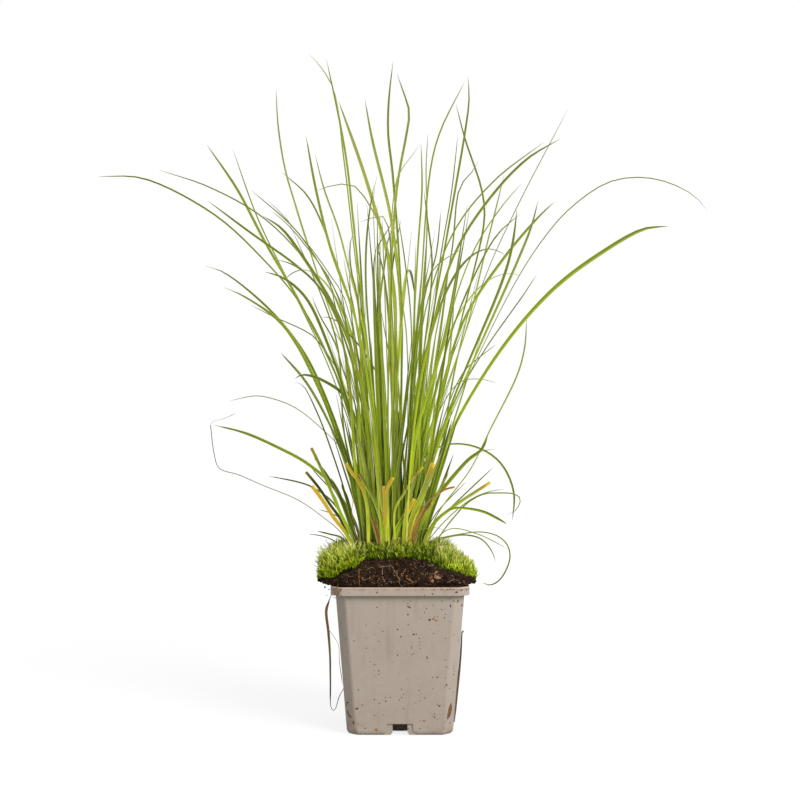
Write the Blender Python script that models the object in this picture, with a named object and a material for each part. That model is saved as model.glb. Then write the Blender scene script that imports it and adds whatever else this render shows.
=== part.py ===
"""A clump of ornamental grass in a square nursery pot.

The pot stands on z = 0 with its axis on z, its front towards -Y. The peat root ball bulges over
the pot's lip, moss grows over its top, and the clump's crown sits in it. Every leaf stands on the
crown. Touching pieces keep a gap of a few tenths of a millimetre. Metres throughout.
"""

import math

import bmesh
import bpy
from mathutils import Matrix, Vector

MM = 0.001
GAP = 0.4 * MM
SHARP_TURN = math.radians(35)

# Pot: a square 9 cm nursery pot, measured over its rim band.
RIM_HALF = 45.0 * MM
POT_HEIGHT = 97.5 * MM
BAND_HEIGHT = 5.6 * MM
NECK_HALF = 41.8 * MM
FOOT_HALF = 34.6 * MM
WALL = 1.0 * MM
CORNER_CHAMFER = 6.0 * MM
CORNER_SOFTNESS = 1.3 * MM
FOOT_FILLET = 3.0 * MM
RIM_SOFTNESS = 0.35 * MM
SLOT_WIDTH = 9.7 * MM
SLOT_HEIGHT = 7.4 * MM
SLOT_DEPTH = 18.0 * MM
SLOT_FLARE = 2.2 * MM
CHEEK_TOP_WIDTH = 16.6 * MM
CHEEK_FOOT_WIDTH = 18.4 * MM
CHEEK_HEIGHT = 7.8 * MM
CHEEK_SET_BACK = 0.8 * MM
CHEEK_SHELF = 2.6 * MM
CLEAR_OF_FLOOR = 0.4 * MM
DRAIN_LENGTH = 9.0 * MM
DRAIN_WIDTH = 6.0 * MM
DRAIN_SET_BACK = 2.0 * MM

# Root ball: half sizes of the bulge over the lip, to the left, right, front and back.
BULGE_LEFT = 52.5 * MM
BULGE_RIGHT = 49.6 * MM
BULGE_FRONT = 44.2 * MM
BULGE_BACK = 48.0 * MM
BULGE_SQUARENESS = 4.5
FILL_SQUARENESS = 7.0
MOUND_TOP = 116.0 * MM
SEAT_DEPTH = 10.0 * MM
ROUND_STATIONS = 36
# The mound's slope from the crown out to the lip: share of the bulge's reach, height, and how
# much lower it is at the right.
MOUND_SLOPE = (
    (0.70, 116.0 * MM, 2.5 * MM),
    (0.80, 113.6 * MM, 5.0 * MM),
    (0.90, 109.2 * MM, 3.6 * MM),
    (0.98, 104.6 * MM, 2.2 * MM),
    (1.00, 101.0 * MM, 0.6 * MM),
    (0.985, 98.0 * MM, 0.0),
)

# Crown: the dense foot of the clump, a rounded slab in the top of the root ball.
CROWN_CENTRE_X = -3.5 * MM
CROWN_HALF_X = 31.5 * MM
CROWN_HALF_Y = 26.5 * MM
CROWN_SQUARENESS = 3.6
CROWN_TOP = 118.5 * MM
CROWN_CHAMFER = 0.8 * MM

# Front elevation: leaf paths are drawn on a square of 800 units seen from a point before the pot.
SHEET_CENTRE = 400.0
UNIT_AT_FRONT = 0.643 * MM
EYE_DISTANCE = 1.045
EYE_HEIGHT = 0.2181

# Leaves stand in layers from front to back. The layers fan out with distance from the foot.
FRONT = Vector((0, -1, 0))
LEAF_THICKNESS = 0.45 * MM
LEAF_KEEL = 0.28 * MM
STOUT_WIDTH = 1.6 * MM
FOOT_SHARE = 0.66
CUT_TAPER = 0.15
TIP_SHARE = 0.1
TIP_POWER = 2.6
LAYER_STEP = 0.98 * MM
FAN = 9.0
FAN_START = 40.0
FAN_REACH = 460.0
FAN_CENTRE = (388.0, 550.0)
FAN_POWER = 1.6
LARGEST_ROLL = math.radians(34)
ROLL_STEP = 2.4
DENSE_STEPS = 12
LEAST_STRETCHES = 5
MOST_STRETCHES = 14
STRETCH_LENGTH = 60.0
STRETCH_TURN = 16.0

GROWN, CUT = "grown", "cut"
# Each leaf: name, form, width in mm, foot on the sheet, and its path from the foot to the tip.
LEAVES = (
    ("leaf_low_right_bent", GROWN, 2.0, 424,
     ((438, 519), (453, 508.6), (468, 508.6), (484, 512), (497.5, 518.5), (507, 524))),
    ("stub_centre_tall", CUT, 3.2, 405, ((413, 515), (422.5, 493), (433, 463))),
    ("stub_centre_short", CUT, 3.2, 392, ((398, 527), (406, 515), (415, 499))),
    ("stub_right", CUT, 2.2, 421, ((433, 524), (453, 507), (490, 482.6))),
    ("stub_left_tall", CUT, 2.2, 359,
     ((350, 532), (340, 512), (328, 484), (320, 466), (311.5, 448))),
    ("stub_left_low", CUT, 2.6, 355, ((345, 532), (334, 518), (323, 501), (312, 486))),
    ("leaf_hook_right", GROWN, 2.6, 412,
     ((422.5, 513), (445, 486), (468, 460), (481, 450), (486, 441), (488, 435))),
    ("leaf_left_pointed", GROWN, 2.4, 383,
     ((374, 430), (357, 325), (331, 250), (316, 190), (306, 136))),
    ("leaf_right_broad", GROWN, 2.4, 405,
     ((415, 470), (433, 325), (456, 251), (490, 198), (527, 159), (560, 139))),
    ("leaf_left_fan_a", GROWN, 2.2, 379,
     ((372, 470), (357, 370), (338, 315), (301, 254), (281, 228), (263, 216))),
    ("leaf_right_fan_a", GROWN, 1.8, 412,
     ((440, 440), (478, 350), (518, 260), (531.5, 226), (538, 201))),
    ("leaf_left_spear", GROWN, 1.9, 378,
     ((370, 470), (350, 370), (322, 288), (297, 210), (285, 169), (278, 125), (276, 88))),
    ("leaf_right_fan_b", GROWN, 2.0, 409,
     ((427, 475), (455, 395), (499, 290), (509, 260), (514, 235), (517, 209))),
    ("leaf_left_inner", GROWN, 2.0, 384,
     ((377, 440), (364, 330), (349, 270), (338, 228), (324, 189), (315, 154))),
    ("leaf_right_turned_back", GROWN, 1.9, 410,
     ((424, 480), (445, 385), (474, 270), (483, 230), (484.5, 210), (481, 187), (465, 139),
      (456, 104))),
    ("leaf_left_droop", GROWN, 2.2, 374,
     ((366, 480), (350, 410), (330, 350), (310, 304), (297, 288), (280.5, 276.5), (265, 272))),
    ("leaf_folded_tip", GROWN, 2.7, 388,
     ((388, 400), (391, 270), (397, 187), (407, 131), (409.4, 113), (408, 106), (397, 74))),
    ("leaf_left_hook", GROWN, 2.2, 372,
     ((366, 480), (354, 415), (342.5, 393.5), (322, 380), (310, 375.6), (301, 375),
      (295, 378.6))),
    ("leaf_right_low_arch", GROWN, 2.0, 398,
     ((403, 510), (412, 480), (425.5, 456.5), (442, 446), (461, 444), (481, 449), (497.5, 460),
      (508, 475), (514, 495), (512.5, 520))),
    ("leaf_right_tall", GROWN, 2.5, 403,
     ((414, 440), (432, 320), (449, 224), (465, 132), (469, 100), (468, 76))),
    ("leaf_left_tall", GROWN, 2.5, 387,
     ((382, 470), (368, 350), (356, 247), (347, 164), (340, 123), (326.5, 59.5))),
    ("leaf_far_left", GROWN, 1.9, 371,
     ((364, 480), (333, 368), (297, 299), (260, 256), (219, 218), (166, 187), (136, 177),
      (98, 176.6))),
    ("leaf_far_right_broad", GROWN, 3.1, 417,
     ((430, 490), (448, 440), (469.5, 398), (511, 336), (554.5, 288), (598, 255), (644, 229),
      (668, 226.4))),
    ("leaf_left_low_long", GROWN, 2.5, 362,
     ((354, 520), (329, 482), (305, 462), (277, 447), (245, 433), (214, 425))),
    ("leaf_centre_tall", GROWN, 2.3, 394,
     ((400, 420), (402, 320), (393, 178), (388, 132), (389, 97), (393, 62))),
    ("leaf_far_right_thin", GROWN, 1.1, 412,
     ((425, 490), (445, 430), (481, 350), (515, 283), (541, 242), (570.5, 208), (612, 181),
      (655.5, 179), (694.5, 196), (707, 211))),
    ("leaf_far_left_thin", GROWN, 1.0, 377,
     ((370, 440), (345, 329), (310, 267), (265, 219), (209, 187), (159, 170))),
    ("leaf_right_tall_thin", GROWN, 1.9, 401,
     ((408, 460), (420, 300), (430.5, 169), (440, 132), (465, 81))),
    ("leaf_left_highest", GROWN, 1.5, 385,
     ((380, 470), (366, 345), (354, 247), (344, 160), (333, 88), (320, 66), (309, 54))),
    ("leaf_centre_left", GROWN, 2.3, 396,
     ((401, 420), (400, 300), (391, 219), (372, 139), (365, 100))),
    ("leaf_right_upturned", GROWN, 1.7, 421,
     ((440, 510), (470, 470), (490, 430), (518, 373), (525, 345), (526.5, 319))),
    ("leaf_left_arch_low", GROWN, 2.2, 365,
     ((357, 500), (330, 415), (315, 380), (297, 345), (278, 320), (241.5, 295), (224, 287.5))),
    ("leaf_right_loop", GROWN, 1.6, 428,
     ((437, 539), (445, 537), (461, 534), (481, 532), (497.5, 536), (507, 544.5), (510, 556),
      (507, 568), (499, 580.5), (490, 585), (482, 582.5))),
    ("leaf_right_fan_c", GROWN, 2.3, 408,
     ((420, 475), (436, 410), (464, 320), (504, 258), (541, 214.5), (554.5, 202))),
    ("leaf_left_fan_b", GROWN, 2.3, 376,
     ((368, 440), (345, 340), (320, 288), (297, 266), (251, 233), (208, 201))),
    ("leaf_right_hair", GROWN, 0.9, 408,
     ((428, 450), (450, 380), (488, 270), (518, 205), (568, 109))),
    ("leaf_left_arch", GROWN, 2.2, 366,
     ((360, 505), (350, 465), (320, 384), (301, 348), (269, 309), (223, 272), (205, 266))),
    ("leaf_centre_right", GROWN, 2.0, 399,
     ((406, 460), (411, 380), (418, 247), (422, 189), (421, 143))),
    ("leaf_left_fan_c", GROWN, 2.2, 373,
     ((368, 490), (342, 390), (300, 303), (265, 242), (237, 189), (207, 145))),
    ("leaf_right_fan_d", GROWN, 1.6, 400,
     ((404, 470), (415, 380), (428, 300), (456, 228), (495, 180), (544, 142))),
    ("leaf_centre_broad", GROWN, 3.1, 391,
     ((394, 480), (397, 400), (394, 300), (388, 258), (365.5, 178), (339, 102))),
    ("leaf_left_fan_d", GROWN, 1.1, 374,
     ((366, 480), (330, 370), (290, 285), (258, 219), (233, 150))),
    ("leaf_left_curled", GROWN, 2.0, 381,
     ((374, 430), (356, 322), (333, 254), (320, 219), (306, 194), (282, 172.5))),
    ("leaf_left_low_spear", GROWN, 2.3, 364,
     ((357, 505), (344, 460), (330, 425), (306, 382), (281, 353))),
    ("leaf_left_low_arch", GROWN, 1.1, 368,
     ((362, 505), (344.5, 454), (321, 428), (294, 407), (266, 397), (253, 396), (229.5, 401))),
)
# Leaves that arch towards the front or the back. Each leaf: name, width in mm, foot in x and y in
# mm, direction seen from above, length in mm, and how far its tip is turned from the upright.
ARCHED_LEAVES = (
    ("leaf_arched_front_right", 1.9, (4, -22.8), -74, 300, 108),
    ("leaf_arched_front_left", 1.8, (-12, -23.8), -112, 268, 96),
    ("leaf_arched_back_left", 2.0, (-14, 23.8), 113, 320, 104),
    ("leaf_arched_back", 2.3, (-4, 22.8), 86, 352, 118),
    ("leaf_arched_back_right", 1.9, (7, 24.8), 60, 292, 94),
    ("leaf_low_back", 1.8, (-5, 25.2), 98, 170, 132),
)
ARCH_START = 7.0
ARCH_POWER = 1.5
ARCH_STRETCHES = 12
THREAD_LAYER = 6.5
THREAD_WIDTH = 0.5
THREAD_FOOT = 353
THREAD_PATH = (
    (340, 531.5), (323.5, 517.5), (298, 500), (262, 485), (239, 475), (219, 468), (214, 453),
    (210.5, 425),
)
# Dead leaf that hangs down the pot's left side, and a dead strand stuck to its right side.
DEAD_LEAF_WIDTH = 2.6
DEAD_LEAF_DEPTH = 18.0 * MM
DEAD_LEAF_ROLL = math.radians(62)
DEAD_LEAF_PATH = (
    (332.8, 576.5), (332.6, 590), (329, 601), (326.3, 610.5), (328.3, 631), (330, 655),
    (330.4, 680), (331.3, 708), (333.5, 710.5), (335.5, 708.5), (339, 697), (345, 686),
)
STRAND_DEPTH = -24.0 * MM
STRAND_TOP = 73.0 * MM
STRAND_FOOT = 8.0 * MM
STRAND_WIDTH = 0.9 * MM
STRAND_THICKNESS = 0.4 * MM

# Moss mat round the crown. Each row: direction in degrees seen from above (-90 is the front), how
# far down the mound's slope the moss reaches there, its height, and how far its lower edge stands
# proud of the soil.
MOSS_ROWS = (
    (-180, 1.00, 14.5 * MM, 3.6 * MM),
    (-155, 0.92, 13.0 * MM, 3.4 * MM),
    (-140, 0.62, 11.5 * MM, 2.2 * MM),
    (-125, 0.24, 10.0 * MM, 1.0 * MM),
    (-95, 0.12, 9.5 * MM, 0.6 * MM),
    (-65, 0.16, 9.0 * MM, 0.6 * MM),
    (-50, 0.46, 8.5 * MM, 1.0 * MM),
    (-35, 0.78, 8.0 * MM, 1.2 * MM),
    (-15, 1.00, 8.0 * MM, 1.4 * MM),
    (45, 1.00, 8.0 * MM, 1.6 * MM),
    (90, 1.00, 6.5 * MM, 2.0 * MM),
    (135, 1.00, 8.5 * MM, 3.0 * MM),
    (180, 1.00, 14.5 * MM, 3.6 * MM),
)
MOSS_LIFT = 0.9 * MM
# The mat's upper side, from its lower edge to the crown: share of its reach, of its height and
# of how far it stands proud of the soil.
MOSS_CROSS_SECTION = (
    (1.00, 0.18, 1.00),
    (0.82, 0.42, 0.60),
    (0.55, 0.80, 0.25),
    (0.25, 0.78, 0.08),
    (0.00, 0.60, 0.00),
)
MOSS_STATIONS = 4


def clear_scene():
    for item in list(bpy.data.objects):
        bpy.data.objects.remove(item, do_unlink=True)


def finish(name, colour, roughness):
    """A plain material in the piece's own colour."""
    made = bpy.data.materials.new(name)
    made.use_nodes = True
    shader = made.node_tree.nodes["Principled BSDF"]
    shader.inputs["Base Color"].default_value = (*colour, 1.0)
    shader.inputs["Roughness"].default_value = roughness
    shader.inputs["Metallic"].default_value = 0.0
    return made


def add_object(name, bm, material=None):
    mesh = bpy.data.meshes.new(name)
    bm.to_mesh(mesh)
    bm.free()
    if material:
        mesh.materials.append(material)
    made = bpy.data.objects.new(name, mesh)
    bpy.context.collection.objects.link(made)
    return made


def round_off(piece):
    """Shade a round piece smooth, with its sharp turns kept."""
    piece.data.shade_smooth()
    piece.data.set_sharp_from_angle(angle=SHARP_TURN)
    return piece


def combine(target, tool, operation):
    """Join or cut one solid by another, and keep the result as the target's own mesh."""
    change = target.modifiers.new("change", "BOOLEAN")
    change.operation = operation
    change.object = tool
    change.solver = "EXACT"
    graph = bpy.context.evaluated_depsgraph_get()
    result = bpy.data.meshes.new_from_object(target.evaluated_get(graph))
    target.modifiers.clear()
    target.data = result
    bpy.data.objects.remove(tool, do_unlink=True)


def bars_on_four_sides(name, outline, start, end):
    """Four bars, one on each side: an outline in x and z, drawn along y and turned round z."""
    bm = bmesh.new()
    for turn in range(4):
        ring = [bm.verts.new((x, start, z)) for x, z in outline]
        face = bm.faces.new(ring)
        drawn = bmesh.ops.extrude_face_region(bm, geom=[face])["geom"]
        far_end = [v for v in drawn if isinstance(v, bmesh.types.BMVert)]
        bmesh.ops.translate(bm, vec=(0, end - start, 0), verts=far_end)
        quarter = Matrix.Rotation(turn * math.pi / 2, 3, "Z")
        bmesh.ops.rotate(bm, cent=(0, 0, 0), matrix=quarter, verts=ring + far_end)
    bmesh.ops.recalc_face_normals(bm, faces=bm.faces)
    return add_object(name, bm)


def mirrored(half_outline):
    """A closed outline from its right half, listed from the top down."""
    return list(half_outline) + [(-x, z) for x, z in reversed(half_outline)]


def soften(bm, edges, offset, segments):
    bmesh.ops.bevel(
        bm, geom=edges, offset=offset, segments=segments, profile=0.5, affect="EDGES", material=-1
    )


def upright_edges(bm):
    return [e for e in bm.edges if abs(e.verts[0].co.z - e.verts[1].co.z) > POT_HEIGHT / 2]


def step(bm, face, factor, height):
    """Draw the top face out as a new ring at a height, scaled about the pot's axis."""
    drawn = bmesh.ops.extrude_face_region(bm, geom=[face])["geom"]
    for vert in (v for v in drawn if isinstance(v, bmesh.types.BMVert)):
        vert.co = (vert.co.x * factor, vert.co.y * factor, height)
    bm.faces.remove(face)
    return next(f for f in drawn if isinstance(f, bmesh.types.BMFace))


def pot_shell():
    """Tapered square wall with chamfered corners, a stepped rim band and a flat floor."""
    neck_height = POT_HEIGHT - BAND_HEIGHT
    bm = bmesh.new()
    bmesh.ops.create_cube(bm, size=2.0)
    for vert in bm.verts:
        half = NECK_HALF if vert.co.z > 0 else FOOT_HALF
        height = neck_height if vert.co.z > 0 else 0.0
        vert.co = (vert.co.x * half, vert.co.y * half, height)
    soften(bm, upright_edges(bm), CORNER_CHAMFER, 1)
    soften(bm, upright_edges(bm), CORNER_SOFTNESS, 2)
    floor_edges = [e for e in bm.edges if max(v.co.z for v in e.verts) < MM]
    soften(bm, floor_edges, FOOT_FILLET, 3)
    top = max(bm.faces, key=lambda f: f.calc_center_median().z)
    inner_foot = FOOT_HALF - WALL
    rings = (
        (RIM_HALF, neck_height),
        (RIM_HALF, POT_HEIGHT),
        (RIM_HALF - WALL, POT_HEIGHT),
        (RIM_HALF - WALL, neck_height + WALL),
        (NECK_HALF - WALL, neck_height + WALL),
        (inner_foot, WALL),
    )
    half = NECK_HALF
    for next_half, height in rings:
        top = step(bm, top, next_half / half, height)
        half = next_half
    rim_heights = (neck_height, POT_HEIGHT)
    rim_edges = [e for e in bm.edges if is_rim_edge(e, rim_heights)]
    soften(bm, rim_edges, RIM_SOFTNESS, 2)
    bmesh.ops.recalc_face_normals(bm, faces=bm.faces)
    return bm


def is_rim_edge(edge, heights):
    """Whether an edge runs round the rim band's outer or upper side."""
    level = any(all(abs(v.co.z - h) < GAP / 4 for v in edge.verts) for h in heights)
    reach = min(max(abs(v.co.x), abs(v.co.y)) for v in edge.verts)
    turns = edge.calc_face_angle(0.0) > math.radians(60)
    return level and turns and reach > RIM_HALF - 4 * CORNER_CHAMFER


def slot_outline(extra):
    """A drain slot's mouth, seen from the front, with its foot flared; extra widens it."""
    half = SLOT_WIDTH / 2 + extra
    foot = CLEAR_OF_FLOOR if extra else -MM
    return mirrored(((half, SLOT_HEIGHT + extra), (half, SLOT_FLARE), (half + SLOT_FLARE, foot)))


def cheek_outline(extra):
    """The shallow recess round a slot's mouth, seen from the front; extra widens it."""
    top = CHEEK_HEIGHT + extra
    foot = CLEAR_OF_FLOOR if extra else -MM
    return mirrored(((CHEEK_TOP_WIDTH / 2 + extra, top), (CHEEK_FOOT_WIDTH / 2 + extra, foot)))


def slot_housings(extra):
    """What stands inside the pot round its four slots, grown by extra: housings and cheeks."""
    wall_middle = -(FOOT_HALF - WALL / 2)
    back = -(FOOT_HALF - SLOT_DEPTH) + extra
    cheek_back = -(FOOT_HALF - CHEEK_SET_BACK - CHEEK_SHELF) + extra - 2 * WALL
    housings = bars_on_four_sides("housings", slot_outline(extra), wall_middle, back)
    cheeks = bars_on_four_sides("cheeks", cheek_outline(extra), wall_middle, cheek_back)
    return housings, cheeks


def make_pot():
    pot = add_object("pot", pot_shell(), finish("pot_plastic", (0.39, 0.33, 0.28), 0.55))
    for housing in slot_housings(WALL):
        combine(pot, housing, "UNION")
    outside = -(NECK_HALF + WALL)
    recess_back = -(FOOT_HALF - CHEEK_SET_BACK / 2)
    combine(pot, bars_on_four_sides("recess", cheek_outline(0), outside, recess_back), "DIFFERENCE")
    slot_back = -(FOOT_HALF - SLOT_DEPTH)
    combine(pot, bars_on_four_sides("slot", slot_outline(0), outside, slot_back), "DIFFERENCE")
    half = DRAIN_WIDTH / 2
    drain = mirrored(((half, SLOT_HEIGHT + 2 * WALL), (half, SLOT_HEIGHT - WALL)))
    drain_end = slot_back - DRAIN_SET_BACK
    drain_bars = bars_on_four_sides("drain", drain, drain_end - DRAIN_LENGTH, drain_end)
    combine(pot, drain_bars, "DIFFERENCE")
    round_off(pot)


def rounded_reach(angle, half_x, half_y, squareness):
    """Reach of a rounded rectangle from its centre in a direction."""
    x_part = abs(math.cos(angle)) / half_x
    y_part = abs(math.sin(angle)) / half_y
    return (x_part**squareness + y_part**squareness) ** (-1.0 / squareness)


def station_angle(station):
    return 2 * math.pi * station / ROUND_STATIONS


def rounded_ring(half_x, half_y, squareness, height, centre_x=0.0):
    points = []
    for station in range(ROUND_STATIONS):
        angle = station_angle(station)
        reach = rounded_reach(angle, half_x, half_y, squareness)
        points.append(Vector((centre_x + reach * math.cos(angle), reach * math.sin(angle), height)))
    return points


def mound_point(station, share, height, lower_at_right):
    """A point of the mound's surface: a share of the bulge's reach, at a height."""
    angle = station_angle(station)
    half_x = BULGE_RIGHT if math.cos(angle) > 0 else BULGE_LEFT
    half_y = BULGE_BACK if math.sin(angle) > 0 else BULGE_FRONT
    reach = share * rounded_reach(angle, half_x, half_y, BULGE_SQUARENESS)
    height -= lower_at_right * max(0.0, math.cos(angle)) ** 2
    return Vector((reach * math.cos(angle), reach * math.sin(angle), height))


def loft(rings, closed=False):
    """A closed body through rings of equally many points, capped at both ends unless closed."""
    bm = bmesh.new()
    loops = []
    for ring in rings:
        verts = [bm.verts.new(point) for point in ring]
        count = len(verts)
        loops.append([bm.edges.new((verts[i], verts[(i + 1) % count])) for i in range(count)])
    pairs = list(zip(loops, loops[1:]))
    if closed:
        pairs.append((loops[-1], loops[0]))
    for lower, upper in pairs:
        bmesh.ops.bridge_loops(bm, edges=lower + upper)
    if not closed:
        bmesh.ops.holes_fill(bm, edges=loops[0] + loops[-1], sides=0)
    bmesh.ops.recalc_face_normals(bm, faces=bm.faces)
    return bm


def make_soil():
    inner_foot = FOOT_HALF - WALL - GAP
    inner_neck = NECK_HALF - WALL - GAP
    inner_rim = RIM_HALF - WALL - GAP
    ledge = POT_HEIGHT - BAND_HEIGHT + WALL
    fill = (
        (inner_foot, WALL + GAP),
        (inner_neck, ledge + 0.8 * GAP),
        (inner_rim, ledge + 1.2 * GAP),
        (inner_rim, POT_HEIGHT + GAP),
    )
    rings = [rounded_ring(half, half, FILL_SQUARENESS, height) for half, height in fill]
    for row in reversed(MOUND_SLOPE):
        rings.append([mound_point(i, *row) for i in range(ROUND_STATIONS)])
    for height in (MOUND_TOP, MOUND_TOP - SEAT_DEPTH):
        rings.append(crown_ring(GAP, height))
    soil = add_object("soil", loft(rings), finish("peat", (0.025, 0.012, 0.008), 0.95))
    for housing in slot_housings(WALL + GAP):
        combine(soil, housing, "DIFFERENCE")
    round_off(soil)


def crown_ring(extra, height):
    half_x = CROWN_HALF_X + extra
    half_y = CROWN_HALF_Y + extra
    return rounded_ring(half_x, half_y, CROWN_SQUARENESS, height, CROWN_CENTRE_X)


def make_crown():
    floor = MOUND_TOP - SEAT_DEPTH + GAP
    shoulder = CROWN_TOP - CROWN_CHAMFER
    rings = [crown_ring(0, floor), crown_ring(0, shoulder), crown_ring(-CROWN_CHAMFER, CROWN_TOP)]
    round_off(add_object("crown", loft(rings), finish("leaf_foot", (0.16, 0.17, 0.04), 0.7)))


def blend_rows(rows, position):
    """Values between the rows of a table, at a position along its first column."""
    for before, after in zip(rows, rows[1:]):
        if position <= after[0]:
            part = (position - before[0]) / (after[0] - before[0])
            part = part * part * (3 - 2 * part)
            return [a + (b - a) * part for a, b in zip(before[1:], after[1:])]
    return list(rows[-1][1:])


def slope_point(station, part):
    """A point of the mound's slope, from 0 at the crown's side to 1 at the lip."""
    place = part * (len(MOUND_SLOPE) - 1)
    row = min(int(place), len(MOUND_SLOPE) - 2)
    rest = place - row
    near = mound_point(station, *MOUND_SLOPE[row])
    far = mound_point(station, *MOUND_SLOPE[row + 1])
    return near.lerp(far, rest)


def moss_section(station):
    """The mat's cross-section in one direction: along the soil, then back over the top."""
    angle = station_angle(station)
    degrees = math.degrees(angle)
    reach, height, proud = blend_rows(MOSS_ROWS, degrees - 360 if degrees > 180 else degrees)
    outward = Vector((math.cos(angle), math.sin(angle), 0.0))
    lift = outward * MOSS_LIFT + Vector((0, 0, MOSS_LIFT))
    under = []
    for i in range(MOSS_STATIONS + 1):
        under.append(slope_point(station, reach * i / MOSS_STATIONS) + lift)
    over = []
    for part, up, out in MOSS_CROSS_SECTION:
        rise = Vector((0, 0, height * up))
        over.append(slope_point(station, reach * part) + lift + rise + outward * proud * out)
    return under + over


def make_moss():
    sections = [moss_section(i) for i in range(ROUND_STATIONS)]
    mat = add_object("moss", loft(sections, closed=True), finish("moss", (0.26, 0.40, 0.05), 0.9))
    round_off(mat)


def unit_at(depth):
    """Length of one sheet unit at a depth behind the pot's axis."""
    return UNIT_AT_FRONT * (EYE_DISTANCE + depth) / (EYE_DISTANCE - RIM_HALF)


def placed(point, depth):
    """The place of a sheet point at a depth."""
    unit = unit_at(depth)
    return Vector(
        ((point[0] - SHEET_CENTRE) * unit, depth, EYE_HEIGHT - (point[1] - SHEET_CENTRE) * unit)
    )


def smooth_span(guides, share):
    """A point on the curve from the second of four guide points to the third."""
    a, b, c, d = guides
    t1 = (b - a).length ** 0.5
    t2 = t1 + (c - b).length ** 0.5
    t3 = t2 + (d - c).length ** 0.5
    t = t1 + (t2 - t1) * share
    ab = a.lerp(b, t / t1)
    bc = b.lerp(c, share)
    cd = c.lerp(d, (t - t2) / (t3 - t2))
    before = ab.lerp(bc, t / t2)
    after = bc.lerp(cd, (t - t1) / (t3 - t1))
    return before.lerp(after, share)


def smooth_path(points, count):
    """Points spread evenly along a smooth curve through the given ones."""
    guides = [Vector(p) for p in points]
    guides = [guides[0] * 2 - guides[1]] + guides + [guides[-1] * 2 - guides[-2]]
    dense = []
    for span in zip(guides, guides[1:], guides[2:], guides[3:]):
        dense += [smooth_span(span, i / DENSE_STEPS) for i in range(DENSE_STEPS)]
    dense.append(guides[-2])
    return spread_evenly(dense, count)


def spread_evenly(points, count):
    lengths = [0.0]
    for before, after in zip(points, points[1:]):
        lengths.append(lengths[-1] + (after - before).length)
    spread, span = [], 0
    for i in range(count + 1):
        wanted = lengths[-1] * i / count
        while span < len(points) - 2 and lengths[span + 1] < wanted:
            span += 1
        part = (wanted - lengths[span]) / (lengths[span + 1] - lengths[span])
        spread.append(points[span].lerp(points[span + 1], part))
    return spread


def stretches(points):
    """How many straight stretches a path needs, from its length and how much it turns."""
    steps = [Vector(b) - Vector(a) for a, b in zip(points, points[1:])]
    length = sum(s.length for s in steps)
    turning = sum(math.degrees(abs(a.angle(b))) for a, b in zip(steps, steps[1:]))
    wanted = round(length / STRETCH_LENGTH + turning / STRETCH_TURN)
    return max(LEAST_STRETCHES, min(MOST_STRETCHES, wanted))


def layer_depth(layer):
    return (layer - (len(LEAVES) - 1) / 2) * LAYER_STEP


def fanned_depth(point, foot_depth):
    """Depth of a leaf at a sheet point: its layer's, spread as it gets further from the foot."""
    distance = (Vector(point) - Vector(FAN_CENTRE)).length
    share = max(0.0, (distance - FAN_START) / FAN_REACH)
    return foot_depth * (1 + FAN * share**FAN_POWER)


def leaf_line(foot, path, layer):
    """The points in space along the middle of a leaf, from the crown to the tip."""
    foot_depth = layer_depth(layer)
    foot_height = CROWN_TOP + GAP
    foot_row = SHEET_CENTRE + (EYE_HEIGHT - foot_height) / unit_at(foot_depth)
    points = ((foot, foot_row), *path)
    even = smooth_path(points, stretches(points))
    return [placed(point, fanned_depth(point, foot_depth)) for point in even]


def arched_line(foot, direction, length, turned):
    """A leaf bent over by its own weight, and the level way across it."""
    outward = Vector((math.cos(direction), math.sin(direction), 0))
    point = Vector((foot[0] * MM, foot[1] * MM, CROWN_TOP + GAP))
    line = [point.copy()]
    for i in range(ARCH_STRETCHES):
        share = (i + 0.5) / ARCH_STRETCHES
        slope = math.radians(ARCH_START + (turned - ARCH_START) * share**ARCH_POWER)
        way = outward * math.sin(slope) + Vector((0, 0, math.cos(slope)))
        point = point + way * length / ARCH_STRETCHES
        line.append(point.copy())
    return line, Vector((0, 0, 1)).cross(outward)


def width_share(form, part):
    """Share of the full width along a leaf: narrow at the foot, and pointed unless it was cut."""
    foot = min(1.0, FOOT_SHARE + part)
    if form == CUT:
        return foot * (1 - CUT_TAPER * part)
    return max(TIP_SHARE, foot * (1 - part**TIP_POWER))


def cross_section(middle, along, side, width, roll):
    """The four corners of a leaf's keeled cross-section: edge, keel, edge, channel."""
    face = side.cross(along)
    turned = side * math.cos(roll) + face * math.sin(roll)
    back = (face * math.cos(roll) - side * math.sin(roll)) * -1
    stout = min(1.0, width / STOUT_WIDTH)
    keel = back * (LEAF_KEEL + LEAF_THICKNESS / 2) * stout
    channel = back * (LEAF_KEEL - LEAF_THICKNESS / 2) * stout
    half = turned * width / 2
    return [middle - half, middle + keel, middle + half, middle + channel]


def leaf_solid(line, form, width, roll, level_side=None):
    """Draw a keeled strip along a line, broad towards the front or along its level side."""
    last = len(line) - 1
    sections = []
    for i, middle in enumerate(line):
        along = (line[min(i + 1, last)] - line[max(i - 1, 0)]).normalized()
        here = width * width_share(form, i / last)
        turn = roll * min(1.0, 2 * i / last)
        side = level_side or along.cross(FRONT).normalized()
        sections.append(cross_section(middle, along, side, here, turn))
    return loft(sections)


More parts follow.
